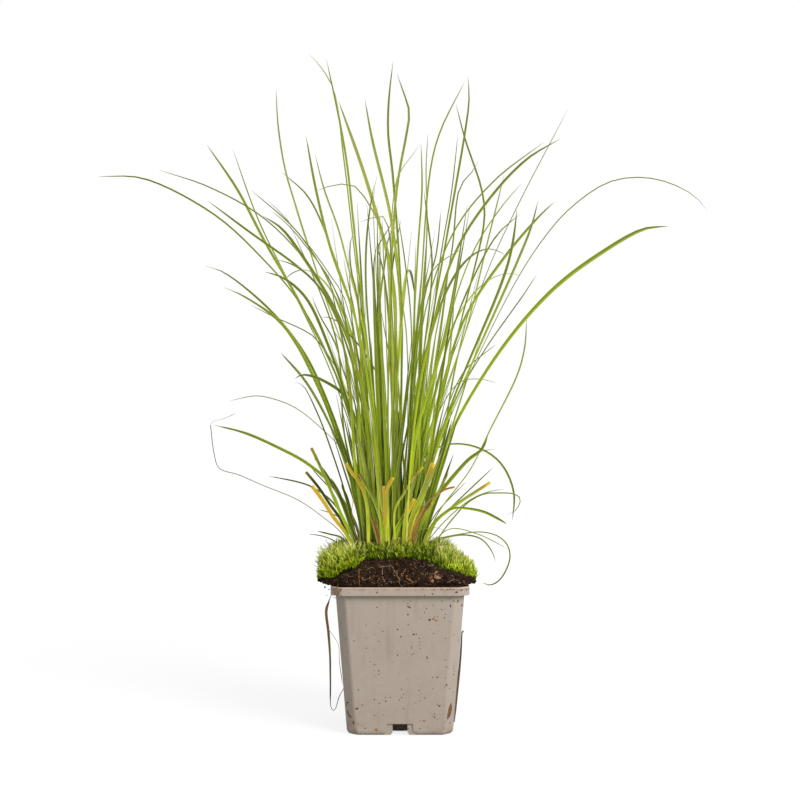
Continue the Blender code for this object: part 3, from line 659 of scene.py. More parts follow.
def standing(place, normal, spin, sizes):
    """Where a copy stands: its z turned to a normal, spun and scaled."""
    turn = Vector(normal).to_track_quat("Z", "Y").to_matrix().to_4x4()
    turned = turn @ Matrix.Rotation(spin, 4, "Z") @ Matrix.Diagonal((*sizes, 1))
    return Matrix.Translation(place) @ turned


def three_shades(chance):
    return [chance.random() for _ in range(3)]


def ramp(tree, source, stops):
    """A colour ramp from pairs of place and colour."""
    made = add_node(tree, "ShaderNodeValToRGB", inputs={0: source})
    elements = made.color_ramp.elements
    while len(elements) < len(stops):
        elements.new(0.5)
    for element, (place, colour) in zip(elements, stops):
        element.position = place
        element.color = (*colour, 1)
    return made.outputs["Color"]


def crumb_material():
    made, tree, shader = paint("peat_crumb", 0.9, 0.15)
    growth = add_node(tree, "ShaderNodeAttribute", {"attribute_name": "growth"}).outputs["Color"]
    shade = add_node(tree, "ShaderNodeSeparateColor", inputs={0: growth}).outputs[1]
    colour = ramp(tree, shade, (
        (0.0, (0.005, 0.002, 0.001)), (0.5, (0.018, 0.008, 0.004)), (0.8, (0.055, 0.025, 0.011)),
        (0.93, (0.14, 0.066, 0.028)), (1.0, (0.36, 0.25, 0.15)),
    ))
    finish_paint(tree, shader, mottled(tree, colour, (0.02, 0.011, 0.007), 1300.0, 0.6))
    return made


def make_crumbs():
    chance = random.Random(41)
    shapes = [pebble(seed) for seed in range(6)]
    copies = []
    for _ in range(CRUMB_COUNT):
        angle = chance.uniform(0, math.tau)
        base = slope_point(angle, chance.uniform(0.0, 0.98))
        size = CRUMB_SIZE * (1 + 1.8 * chance.random() ** 4)
        place, normal, _, _ = MOUND_TREE.find_nearest(base)
        spot = place + normal * size * 0.35
        near_lip = spot.z < POT_HEIGHT + size
        if near_lip and max(abs(spot.x), abs(spot.y)) > RIM_HALF - 2 * MM:
            continue
        sizes = [size * chance.uniform(0.7, 1.25) for _ in range(3)]
        matrix = standing(spot, normal, chance.uniform(0, 6.28), sizes)
        copies.append((chance.randrange(len(shapes)), matrix, three_shades(chance)))
    # A ragged clod hangs out under the moss at the left, and a few crumbs have come loose from it.
    loose = list(LOOSE_CRUMBS)
    for _ in range(CLOD_COUNT):
        x = chance.uniform(CLOD_LEFT, CLOD_RIGHT)
        y = CLOD_ROW + CLOD_SLOPE * (x - CLOD_LEFT) - 6 * chance.random()
        loose.append((x, y, chance.uniform(0.5, 1.2), chance.uniform(-0.012, 0.024)))
    for x, y, size, depth in loose:
        matrix = Matrix.Translation(placed((x, y), depth)) @ Matrix.Scale(size * MM, 4)
        copies.append((chance.randrange(len(shapes)), matrix, [0.1, 0.2, 0.5]))
    place_piece(join_copies("peat_crumbs", shapes, copies), crumb_material())


make_crumbs()

# Roots. Thin tan and orange roots lie on the front of the root ball, some forked, and a lump of
# bark and pale grains sit among them.
# Each: width in mm, colour, and its path in columns and rows of the picture.
ROOTS = (
    (0.55, "orange", ((359, 569), (359.5, 576), (359, 581), (360, 587))),
    (0.42, "orange", ((362, 581), (369, 578.5), (375, 576.5), (380, 578), (377, 583))),
    (0.50, "pale", ((383, 569), (382, 574), (384.5, 581))),
    (0.42, "pale", ((379, 567.5), (385, 567), (391, 566), (393, 569))),
    (0.62, "tan", ((392, 567), (395, 572), (398, 578), (400, 583), (403, 587))),
    (0.45, "orange", ((405, 570), (402, 574), (400, 577.5), (397, 577))),
    (0.55, "orange", ((406, 576), (409, 580), (413, 582), (417, 580), (416, 583.5))),
    (0.40, "orange", ((413, 582), (411, 583.5), (407, 583))),
    (0.45, "tan", ((429, 577), (431, 580), (434, 582.5), (430, 584))),
    (0.35, "pale", ((412, 551), (413, 556), (415.5, 560), (418, 563))),
    (0.30, "tan", ((346, 582), (352, 580), (356, 583))),
    (0.28, "tan", ((419, 573), (424, 575), (428, 572.5))),
    (0.30, "tan", ((366, 571), (370, 568), (375, 569), (377, 572))),
    (0.26, "pale", ((447, 583), (452, 580), (458, 581), (462, 584))),
    (0.28, "tan", ((385, 584), (390, 582), (393, 585))),
    (0.26, "tan", ((437, 574), (443, 577), (449, 576))),
    (0.30, "tan", ((345, 574.5), (350, 577), (353, 576))),
)
ROOT_COLOURS = {
    "tan": (0.42, 0.25, 0.13),
    "orange": (0.50, 0.24, 0.07),
    "pale": (0.46, 0.34, 0.23),
}
ROOT_LIFT = 0.2 * MM
ROOTLET_COUNT = 46
ROOTLET_STEP = 1.1
ROOTLET_LIFT = 0.12
ROOTLET_RADIUS = 0.09 * MM
GRAIN_COUNT = 120
GRAIN_SPOTS = (
    (375, 565.5), (349, 576), (389, 557), (361, 570), (411, 565), (424, 567), (355, 584),
    (442, 584), (372, 583), (452, 576),
)
# Each: column, row, width and height in mm.
BARK_SPOTS = ((437.8, 577, 2.3, 2.4), (436, 572.6, 1.5, 0.7), (432.5, 581, 1.3, 0.8))


def spread_evenly(points, count):
    lengths = [0.0]
    for before, after in zip(points, points[1:]):
        lengths.append(lengths[-1] + (after - before).length)
    spread, span = [], 0
    for i in range(count + 1):
        wanted = lengths[-1] * i / count
        while span < len(points) - 2 and lengths[span + 1] < wanted:
            span += 1
        part = (wanted - lengths[span]) / (lengths[span + 1] - lengths[span])
        spread.append(points[span].lerp(points[span + 1], part))
    return spread


def smooth_span(guides, share):
    """A point on the curve from the second of four guide points to the third."""
    a, b, c, d = guides
    t1 = (b - a).length ** 0.5
    t2 = t1 + (c - b).length ** 0.5
    t3 = t2 + (d - c).length ** 0.5
    t = t1 + (t2 - t1) * share
    ab = a.lerp(b, t / t1)
    bc = b.lerp(c, share)
    cd = c.lerp(d, (t - t2) / (t3 - t2))
    before = ab.lerp(bc, t / t2)
    after = bc.lerp(cd, (t - t1) / (t3 - t1))
    return before.lerp(after, share)


def smooth_path(points, count):
    """Points spread evenly along a smooth curve through the given ones."""
    guides = [Vector(p) for p in points]
    guides = [guides[0] * 2 - guides[1]] + guides + [guides[-1] * 2 - guides[-2]]
    dense = []
    for span in zip(guides, guides[1:], guides[2:], guides[3:]):
        dense += [smooth_span(span, i / 12) for i in range(12)]
    dense.append(guides[-2])
    return spread_evenly(dense, count)


def level_way(angle):
    """A direction seen from above."""
    return Vector((math.cos(angle), math.sin(angle), 0))


def tube(bm, line, radii, sides=6):
    """A round skin along a line."""
    rings = []
    last = len(line) - 1
    for i, middle in enumerate(line):
        along = (line[min(i + 1, last)] - line[max(i - 1, 0)]).normalized()
        turn = along.to_track_quat("Z", "X").to_matrix()
        ring = []
        for k in range(sides):
            angle = math.tau * k / sides
            ring.append(middle + turn @ level_way(angle) * radii[i])
        rings.append(ring)
    loft(bm, rings)


def sight(x, y):
    """The direction from the eye through a point of the picture."""
    across = (x - PICTURE_CENTRE) * PIXEL
    up = (PICTURE_CENTRE - y) * PIXEL
    return Vector((across, RIM_DISTANCE, up)).normalized()


def seen_at(tree, x, y):
    """Where a point of the picture falls on a surface, and the surface's normal there."""
    return tree.ray_cast(EYE, sight(x, y))[:2]


def plain_paint(name, roughness, colour, patch_colour, scale, amount):
    """A material of two colours in patches."""
    made, tree, shader = paint(name, roughness)
    finish_paint(tree, shader, mottled(tree, colour, patch_colour, scale, amount))
    return made


def root_material(name, colour):
    return plain_paint(name, 0.7, colour, tuple(c * 0.5 for c in colour), 700.0, 0.7)


def make_roots():
    chance = random.Random(12)
    for colour_name, colour in ROOT_COLOURS.items():
        bm = bmesh.new()
        for width, kind, route in ROOTS:
            if kind != colour_name:
                continue
            line = []
            for x, y in smooth_path(route, 14):
                place, normal = seen_at(MOUND_TREE, x, y)
                if place is None:
                    continue
                lift = width * MM * (0.35 + 0.5 * chance.random()) + ROOT_LIFT
                sway = Vector((chance.gauss(0, 0.22), 0, chance.gauss(0, 0.22))) * MM
                line.append(place + normal * lift + sway)
            radii = [width * MM * (0.4 - 0.22 * i / len(line)) * chance.uniform(0.75, 1.2)
                     for i in range(len(line))]
            tube(bm, line, radii)
        # Fine rootlets of the same colour, strewn all round the slope.
        for _ in range(ROOTLET_COUNT):
            start = slope_point(chance.uniform(0, math.tau), chance.uniform(0.25, 0.85))
            turn = Matrix.Rotation(chance.uniform(-0.05, 0.05) * 6, 3, "Z")
            way = Vector((chance.uniform(-1, 1), chance.uniform(-1, 1), chance.uniform(-1, 1)))
            line = []
            for _ in range(6):
                way.rotate(turn)
                start = start + way.normalized() * ROOTLET_STEP * MM
                place, normal, _, _ = MOUND_TREE.find_nearest(start)
                start = place + normal * ROOTLET_LIFT * MM
                line.append(start)
            if min(p.z for p in line) > POT_HEIGHT + 1.5 * MM:
                tube(bm, line, [ROOTLET_RADIUS] * 6, 4)
        bmesh.ops.recalc_face_normals(bm, faces=bm.faces)
        roots = add_object("roots_" + colour_name, bm)
        roots.data.shade_smooth()
        place_piece(roots, root_material("root_" + colour_name, colour))


def make_bark():
    shapes = [pebble(seed + 20, 0.55, 2, 0.8) for seed in range(3)]
    copies = []
    for number, (x, y, width, height) in enumerate(BARK_SPOTS):
        place, normal = seen_at(MOUND_TREE, x, y)
        matrix = standing(place, normal, 0.5 * number, (width * MM, height * MM, 1.2 * MM))
        copies.append((number, matrix, [0.5, 0.5, 0.5]))
    bark = join_copies("bark_lump", shapes, copies)
    place_piece(bark, root_material("bark", (0.33, 0.17, 0.075)))


def make_grains():
    """Pale grains of sand and husk, strewn over the slope."""
    chance = random.Random(77)
    shapes = [pebble(seed + 40, 0.7) for seed in range(4)]
    copies = []

    def add_grain(place, normal, least, most):
        sizes = [MM * chance.uniform(least, most)] * 3
        matrix = standing(place + normal * 0.3 * MM, normal, 0.4, sizes)
        copies.append((chance.randrange(len(shapes)), matrix, three_shades(chance)))

    for x, y in GRAIN_SPOTS:
        add_grain(*seen_at(MOUND_TREE, x, y), 0.2, 0.34)
    for _ in range(GRAIN_COUNT):
        base = slope_point(chance.uniform(0, math.tau), chance.uniform(0.1, 0.85))
        add_grain(*MOUND_TREE.find_nearest(base)[:2], 0.1, 0.2)
    grains = join_copies("pale_grains", shapes, copies)
    sand = plain_paint("pale_grain", 0.6, (0.62, 0.55, 0.44), (0.40, 0.30, 0.19), 1500.0, 0.8)
    place_piece(grains, sand)


make_roots()
make_bark()
make_grains()

# Leaves. Narrow arching blades, as they grew, each with a keel, a channel on its upper side and
# fine ribs. They stand in layers between the front and the back, which fan out with distance from
# the foot. These stand for the solid leaves.
CROWN_TOP = 118.5 * MM
LEAF_START = CROWN_TOP + 0.4 * MM
LEAF_THICKNESS = 0.3 * MM
# Narrower blades than this are thinner, and those under the next width have plain halves.
FULL_THICKNESS_WIDTH = 1.6 * MM
CURVED_WIDTH = 1.3 * MM
LEAF_KEEL = 0.21
LAYER_STEP = 0.98 * MM
MIDDLE_LAYER = 22.0
OUTER_LAYERS = 6.0
FAN = 9.0
FAN_START = 40.0
FAN_REACH = 460.0
FAN_CENTRE = (388.0, 550.0)
FAN_POWER = 1.6
LARGEST_ROLL = math.radians(14)
LARGEST_TWIST = math.radians(12)
ROLL_STEP = 2.4
LEAF_STEPS, STUB_STEPS = 40, 14
# Share of an inner leaf's length from the foot that is painted dark, as the shade inside the clump.
INNER_DARK_FOOT = 0.16
# Forms of a leaf: its share of its full width along its length. One that grew to its end is slim
# at the foot, broadest past its middle and pointed; a low one is broad from the foot; and one that
# was cut stays broad.
GROWN = ((0.0, 0.62), (0.35, 0.66), (0.80, 0.95), (0.90, 0.88), (0.96, 0.6), (1.0, 0.06))
LOW = ((0.0, 0.85), (0.55, 1.0), (0.80, 0.92), (0.92, 0.6), (1.0, 0.06))
CUT = ((0.0, 0.85), (0.15, 1.0), (1.0, 0.95))
# From the front layer to the back one. Each: name, width in mm, column of its foot, and its path
# up to the tip, in columns and rows of the picture.
LEAVES = (
    ("leaf_low_right_bent", 2.0, 424,
     ((438, 519), (453, 508.6), (468, 508.6), (484, 512), (497.5, 518.5), (507, 524))),
    ("stub_centre_tall", 3.2, 405, ((413, 515), (422.5, 493), (433, 463))),
    ("stub_centre_short", 3.2, 392, ((398, 527), (406, 515), (415, 499))),
    ("stub_right", 2.2, 421, ((433, 524), (453, 507), (490, 482.6))),
    ("stub_left_tall", 2.2, 359, ((350, 532), (340, 512), (328, 484), (320, 466), (311.5, 448))),
    ("stub_left_low", 2.6, 355, ((345, 532), (334, 518), (323, 501), (312, 486))),
    ("leaf_hook_right", 2.6, 412,
     ((422.5, 513), (445, 486), (468, 460), (481, 450), (486, 441), (488, 435))),
    ("leaf_left_pointed", 2.4, 383, ((374, 430), (357, 325), (331, 250), (316, 190), (306, 136))),
    ("leaf_right_broad", 2.4, 405,
     ((415, 470), (433, 325), (456, 251), (490, 198), (527, 159), (560, 139))),
    ("leaf_left_fan_a", 2.2, 379,
     ((372, 470), (357, 370), (338, 315), (301, 254), (281, 228), (263, 216))),
    ("leaf_right_fan_a", 1.8, 412, ((440, 440), (478, 350), (518, 260), (531.5, 226), (538, 201))),
    ("leaf_left_spear", 1.9, 378,
     ((370, 470), (350, 370), (322, 288), (297, 210), (285, 169), (278, 125), (276, 88))),
    ("leaf_right_fan_b", 2.0, 409,
     ((427, 475), (455, 395), (499, 290), (509, 260), (514, 235), (517, 209))),
    ("leaf_left_inner", 2.0, 384,
     ((377, 440), (364, 330), (349, 270), (338, 228), (324, 189), (315, 154))),
    ("leaf_right_turned_back", 1.9, 410,
     ((424, 480), (445, 385), (474, 270), (483, 230), (484.5, 210), (481, 187), (465, 139), (456, 104))),
    ("leaf_left_droop", 2.2, 374,
     ((366, 480), (350, 410), (330, 350), (310, 304), (297, 288), (280.5, 276.5), (265, 272))),
    ("leaf_folded_tip", 2.7, 388,
     ((388, 400), (391, 270), (397, 187), (407, 131), (409.4, 113), (408, 106), (397, 74))),
    ("leaf_left_hook", 2.2, 372,
     ((366, 480), (354, 415), (342.5, 393.5), (322, 380), (310, 375.6), (301, 375), (295, 378.6))),
    ("leaf_right_low_arch", 2.0, 398,
     ((403, 510), (412, 480), (425.5, 456.5), (442, 446), (461, 444), (481, 449), (497.5, 460),
      (508, 475), (514, 495), (512.5, 520))),
    ("leaf_right_tall", 2.5, 403,
     ((414, 440), (432, 320), (449, 224), (465, 132), (469, 100), (468, 76))),
    ("leaf_left_tall", 2.5, 387,
     ((382, 470), (368, 350), (356, 247), (347, 164), (340, 123), (326.5, 59.5))),
    ("leaf_far_left", 1.9, 371,
     ((364, 480), (333, 368), (297, 299), (260, 256), (219, 218), (166, 187), (136, 177), (98, 176.6))),
    ("leaf_far_right_broad", 3.1, 417,
     ((430, 490), (448, 440), (469.5, 398), (511, 336), (554.5, 288), (598, 255), (644, 229),
      (668, 226.4))),
    ("leaf_left_low_long", 2.5, 362,
     ((354, 520), (329, 482), (305, 462), (277, 447), (245, 433), (214, 425))),
    ("leaf_centre_tall", 2.3, 394,
     ((400, 420), (402, 320), (393, 178), (388, 132), (389, 97), (393, 62))),
    ("leaf_far_right_thin", 1.1, 412,
     ((425, 490), (445, 430), (481, 350), (515, 283), (541, 242), (570.5, 208), (612, 181),
      (655.5, 179), (694.5, 196), (707, 211))),
    ("leaf_far_left_thin", 1.0, 377,
     ((370, 440), (345, 329), (310, 267), (265, 219), (209, 187), (159, 170))),
    ("leaf_right_tall_thin", 1.9, 401, ((408, 460), (420, 300), (430.5, 169), (440, 132), (465, 81))),
    ("leaf_left_highest", 1.5, 385,
     ((380, 470), (366, 345), (354, 247), (344, 160), (333, 88), (320, 66), (309, 54))),
    ("leaf_centre_left", 2.3, 396, ((401, 420), (400, 300), (391, 219), (372, 139), (365, 100))),
    ("leaf_right_upturned", 1.7, 421,
     ((440, 510), (470, 470), (490, 430), (518, 373), (525, 345), (526.5, 319))),
    ("leaf_left_arch_low", 2.2, 365,
     ((357, 500), (330, 415), (315, 380), (297, 345), (278, 320), (241.5, 295), (224, 287.5))),
    ("leaf_right_loop", 1.6, 428,
     ((437, 539), (445, 537), (461, 534), (481, 532), (497.5, 536), (507, 544.5), (510, 556),
      (507, 568), (499, 580.5), (490, 585), (482, 582.5))),
    ("leaf_right_fan_c", 2.3, 408,
     ((420, 475), (436, 410), (464, 320), (504, 258), (541, 214.5), (554.5, 202))),
    ("leaf_left_fan_b", 2.3, 376,
     ((368, 440), (345, 340), (320, 288), (297, 266), (251, 233), (208, 201))),
    ("leaf_right_hair", 0.9, 408, ((428, 450), (450, 380), (488, 270), (518, 205), (568, 109))),
    ("leaf_left_arch", 2.2, 366,
     ((360, 505), (350, 465), (320, 384), (301, 348), (269, 309), (223, 272), (205, 266))),
    ("leaf_centre_right", 2.0, 399, ((406, 460), (411, 380), (418, 247), (422, 189), (421, 143))),
    ("leaf_left_fan_c", 2.2, 373,
     ((368, 490), (342, 390), (300, 303), (265, 242), (237, 189), (207, 145))),
    ("leaf_right_fan_d", 1.6, 400,
     ((404, 470), (415, 380), (428, 300), (456, 228), (495, 180), (544, 142))),
    ("leaf_centre_broad", 3.1, 391,
     ((394, 480), (397, 400), (394, 300), (388, 258), (365.5, 178), (339, 102))),
    ("leaf_left_fan_d", 1.1, 374, ((366, 480), (330, 370), (290, 285), (258, 219), (233, 150))),
    ("leaf_left_curled", 2.0, 381,
     ((374, 430), (356, 322), (333, 254), (320, 219), (306, 194), (282, 172.5))),
    ("leaf_left_low_spear", 2.3, 364, ((357, 505), (344, 460), (330, 425), (306, 382), (281, 353))),
    ("leaf_left_low_arch", 1.1, 368,
     ((362, 505), (344.5, 454), (321, 428), (294, 407), (266, 397), (253, 396), (229.5, 401))),
)
# Leaves that arch to the front or the back: name, width in mm, foot in x and y in mm, direction
# seen from above, length in mm, and how far the tip is turned from the upright.
ARCHED_LEAVES = (
    ("leaf_arched_front_right", 1.9, (4, -22.8), -74, 300, 108),
    ("leaf_arched_front_left", 1.8, (-12, -23.8), -112, 268, 96),
    ("leaf_arched_back_left", 2.0, (-14, 23.8), 113, 320, 104),
    ("leaf_arched_back", 2.3, (-4, 22.8), 86, 352, 118),
    ("leaf_arched_back_right", 1.9, (7, 24.8), 60, 292, 94),
    ("leaf_low_back", 1.8, (-5, 25.2), 98, 170, 132),
)
ARCH_START = 7.0
ARCH_POWER = 1.5


def fanned_depth(point, foot_depth):
    distance = (Vector(point) - Vector(FAN_CENTRE)).length
    share = max(0.0, (distance - FAN_START) / FAN_REACH)
    return foot_depth * (1 + FAN * share**FAN_POWER)


def leaf_line(foot, path, layer, count):
    """The points in space along the middle of a leaf, from the crown to the tip."""
    foot_depth = (layer - MIDDLE_LAYER) * LAYER_STEP
    foot_row = PICTURE_CENTRE + (EYE.z - LEAF_START) / unit_at(foot_depth)
    even = smooth_path(((foot, foot_row), *path), count)
    return [placed(point, fanned_depth(point, foot_depth)) for point in even]


def arched_line(foot, direction, length, turned, count):
    """A leaf bent over by its own weight, and the level way across it."""
    outward = level_way(direction)
    point = Vector((foot[0] * MM, foot[1] * MM, LEAF_START))
    line = [point.copy()]
    for i in range(count):
        share = (i + 0.5) / count
        slope = math.radians(ARCH_START + (turned - ARCH_START) * share**ARCH_POWER)
        way = outward * math.sin(slope) + Vector((0, 0, math.cos(slope)))
        point = point + way * length / count
        line.append(point.copy())
    return line, Vector((0, 0, 1)).cross(outward)


def blend_rows(rows, position):
    """Values between the rows of a table, at a position along its first column."""
    for before, after in zip(rows, rows[1:]):
        if position <= after[0]:
            part = (position - before[0]) / (after[0] - before[0])
            part = part * part * (3 - 2 * part)
            return [a + (b - a) * part for a, b in zip(before[1:], after[1:])]
    return list(rows[-1][1:])


def blade(bm, line, width, looks, form=GROWN, roll=0.0, twist=0.0, side=None, shaded_foot=0.0):
    """Add a keeled leaf along a line. Looks: its tint, and how dry it is. A leaf inside the clump
    is painted dark over a share of its length from the foot, as the shade there."""
    growth = bm.verts.layers.float_color.get("growth") or bm.verts.layers.float_color.new("growth")
    corners = [(-1, 0, 0), (0, 1, 0), (1, 0, 0), (0, 1, 1)]
    if width > CURVED_WIDTH:
        corners = [(-1, 0, 0), (-0.5, 0.62, 0), (0, 1, 0), (0.5, 0.62, 0), (1, 0, 0),
                   (0.5, 0.62, 1), (0, 1, 1), (-0.5, 0.62, 1)]
    last = len(line) - 1
    rings = []
    for i, middle in enumerate(line):
        part = i / last
        along = (line[min(i + 1, last)] - line[max(i - 1, 0)]).normalized()
        across = side or along.cross(Vector((0, -1, 0))).normalized()
        face = across.cross(along)
        turn = roll * min(1.0, 2 * part) + twist * part * part
        half = width * blend_rows(form, part)[0] / 2
        right = (across * math.cos(turn) + face * math.sin(turn)) * half
        back = (across * math.sin(turn) - face * math.cos(turn))
        thick = LEAF_THICKNESS * min(1.0, width / FULL_THICKNESS_WIDTH) * (1 - 0.6 * part)
        rings.append([middle + right * u + back * (half * 2 * LEAF_KEEL * k + thick * t)
                      for u, k, t in corners])
    start = len(bm.verts)
    loft(bm, rings)
    bm.verts.ensure_lookup_table()
    tint, dryness = looks
    count = len(corners)
    folds = [k for k, (u, _, t) in enumerate(corners) if abs(u) == 1 or (u == 0 and t == 0)]
    for i in range(len(rings)):
        lit = min(1.0, i / last / shaded_foot) ** 2 if shaded_foot else 1.0
        for k, (u, _, _) in enumerate(corners):
            vert = bm.verts[start + i * count + k]
            vert[growth] = (i / last, (u + 1) / 2, tint * lit, dryness)
            if i and k in folds:
                fold = bm.edges.get((bm.verts[start + (i - 1) * count + k], vert))
                if fold:
                    fold.smooth = False


def add_leaves(name, bm):
    """An object of blades, smooth along each half and creased at the keel and the margins."""
    bmesh.ops.recalc_face_normals(bm, faces=bm.faces)
    for face in bm.faces:
        face.smooth = True
    return add_object(name, bm)


def growth_group():
    """What a blade's own map says: along, across, tint and dryness, and its fine ribs."""
    names = ("Along", "Across", "Tint", "Dryness", "Relief")
    group, given, result = new_group("growth_map", {"Ribs": "Float"}, dict.fromkeys(names, "Float"))
    growth = add_node(group, "ShaderNodeAttribute", {"attribute_name": "growth"}).outputs
    parts = add_node(group, "ShaderNodeSeparateColor", inputs={0: growth["Color"]}).outputs
    ribs = maths(group, "SINE", maths(group, "MULTIPLY", parts[1], given["Ribs"]))
    for name, source in zip(names, (*parts, growth["Alpha"], ribs)):
        group.links.new(source, result[name])
    return group


GROWTH = growth_group()


def grown(tree, ribs):
    return add_node(tree, "ShaderNodeGroup", {"node_tree": GROWTH}, {"Ribs": ribs}).outputs


def leaf_material():
    """Green from a yellow foot to an olive tip, tinted blade by blade, dry at a cut end, with painted
    shade on one half and a painted highlight along the margins.
    """
    made, tree, shader = paint("leaf_green", 0.45, 0.12)
    growth = grown(tree, 22.0)
    along, dryness = growth["Along"], growth["Dryness"]
    green = ramp(tree, along, (
        (0.0, (0.54, 0.50, 0.09)), (0.07, (0.50, 0.54, 0.050)), (0.18, (0.42, 0.53, 0.012)),
        (0.40, (0.38, 0.51, 0.016)), (0.58, (0.35, 0.455, 0.030)), (0.78, (0.30, 0.375, 0.050)),
        (0.96, (0.24, 0.27, 0.06)), (1.0, (0.24, 0.16, 0.08)),
    ))
    # Blades differ: dark green, mid green, bright yellow-green, partly in their own colour and partly as
    # painted shade and sun. The dark end also paints the shade at a foot inside the clump, and the
    # bright end, past full white, is painted light.
    tints = ramp(tree, growth["Tint"], (
        (0.0, (0.05, 0.07, 0.04)), (0.2, (0.52, 0.60, 0.42)), (0.5, (0.96, 0.99, 0.84)),
        (1.0, (1.70, 1.48, 2.3)),
    ))
    colour = mixed(tree, 1.0, green, tints, "MULTIPLY")
    colour = mottled(tree, colour, (0.17, 0.25, 0.012), 90.0, 0.35)
    # A cut blade has dried from its end: dryness is the share that has. It is brown where little
    # has dried, orange-yellow where more has, and brown once the whole blade is dead.
    shade = maths(tree, "MULTIPLY", dryness, maths(tree, "MULTIPLY_ADD", along, 0.12, 0.88))
    dry = ramp(tree, shade, (
        (0.0, (0.34, 0.20, 0.05)), (0.08, (0.42, 0.30, 0.05)), (0.13, (0.70, 0.46, 0.03)),
        (0.5, (0.68, 0.48, 0.02)), (0.76, (0.64, 0.38, 0.03)), (0.84, (0.46, 0.22, 0.045)),
        (1.0, (0.30, 0.14, 0.035)),
    ))
    reach = maths(tree, "MULTIPLY_ADD", along, 5.0, -4.6)
    spread = maths(tree, "MULTIPLY_ADD", dryness, 5.0, reach)
    dry_mask = maths(tree, "MULTIPLY", spread, mapped(tree, dryness, 0.02, 0.05), clamp=True)
    colour = mixed(tree, dry_mask, colour, dry)
    # Ribs and furrows run along the blade, and one half of it is painted darker than the other:
    # painted shade on the half turned from the lamp, painted light on the other.
    streaks = mapped(tree, growth["Relief"], -1.0, 1.0, 0.70, 1.26)
    halves = mapped(tree, growth["Across"], 0.44, 0.56, 0.74, 1.22)
    colour = mixed(tree, 1.0, colour, maths(tree, "MULTIPLY", streaks, halves), "MULTIPLY")
    # Pale margins: a painted highlight along the edges.
    from_keel = maths(tree, "ABSOLUTE", maths(tree, "SUBTRACT", growth["Across"], 0.5))
    colour = mixed(tree, mapped(tree, from_keel, 0.37, 0.45, 0.0, 0.6), colour, (0.74, 0.75, 0.20))
    finish_paint(tree, shader, colour, growth["Relief"], 0.3, 0.0002)
    return made


LEAF_GREEN = leaf_material()
# Stubs have dried from their cut ends: the share that is dry.
STUB_DRYNESS = {
    "stub_centre_tall": 0.16,
    "stub_centre_short": 0.36,
    "stub_right": 0.13,
    "stub_left_tall": 0.06,
    "stub_left_low": 0.72,
}
# Leaves painted darker than the rest as shaded, and brighter as sunlit.
SHADED_LEAVES = (
    "leaf_low_right_bent", "leaf_left_droop", "leaf_left_low_long", "leaf_far_left_thin",
    "leaf_left_arch_low", "leaf_right_loop", "leaf_left_fan_b", "leaf_left_arch",
    "leaf_hook_right", "leaf_right_low_arch", "leaf_left_hook", "leaf_far_left",
    "leaf_right_fan_d", "leaf_far_right_broad", "stub_left_tall",
)
SUNLIT_LEAVES = (
    "leaf_left_spear", "leaf_right_broad", "leaf_left_low_spear", "leaf_right_tall",
    "leaf_left_inner", "leaf_centre_broad",
)
# Leaves with a tint of their own, partly their own colour and partly painted sun and shade.
LEAF_TINTS = {
    "stub_left_tall": 0.5, "stub_left_low": 0.8, "leaf_right_fan_c": 0.3,
    "leaf_left_highest": 0.35, "leaf_left_tall": 0.42, "leaf_left_droop": 0.16,
    "leaf_far_right_broad": 0.42, "leaf_right_fan_a": 0.75, "leaf_folded_tip": 0.9,
    "leaf_right_upturned": 0.4, "leaf_left_arch_low": 0.4, "leaf_right_loop": 0.14,
    "leaf_far_left_thin": 0.14, "leaf_left_spear": 1.0, "leaf_hook_right": 0.4,
    "leaf_far_right_thin": 0.14, "leaf_right_hair": 0.16, "leaf_right_tall_thin": 0.42,
    "leaf_left_fan_d": 0.3, "leaf_right_fan_d": 0.2, "leaf_far_left": 0.24,
    "leaf_right_turned_back": 0.42, "leaf_right_fan_b": 0.42, "leaf_left_fan_b": 0.24,
    "leaf_left_curled": 0.42, "leaf_right_tall": 0.45,
}
LOW_LEAVES = ("leaf_left_low_long", "leaf_hook_right", "leaf_left_arch_low", "leaf_left_arch")
# Leaves that are slimmer than their solids.
SLIMMER = {
    "leaf_left_spear": 0.62, "leaf_right_upturned": 0.72, "leaf_far_left": 0.68,
    "leaf_left_low_arch": 0.6, "leaf_right_fan_d": 0.8, "leaf_centre_tall": 0.8,
    "leaf_right_tall": 0.64, "leaf_left_tall": 0.64, "leaf_folded_tip": 0.68,
    "leaf_left_highest": 0.78, "leaf_right_broad": 0.75, "leaf_left_pointed": 0.76,
    "leaf_left_inner": 0.64, "leaf_right_turned_back": 0.72, "leaf_right_tall_thin": 0.68,
    "leaf_right_loop": 0.75, "leaf_left_curled": 0.76, "leaf_left_low_spear": 0.86,
    "leaf_left_fan_b": 0.78, "leaf_right_low_arch": 0.8, "leaf_centre_right": 0.74,
    "leaf_left_arch": 0.82, "leaf_centre_broad": 0.9, "leaf_left_low_long": 0.86,
    "leaf_far_right_thin": 0.76, "leaf_right_hair": 0.8,
}


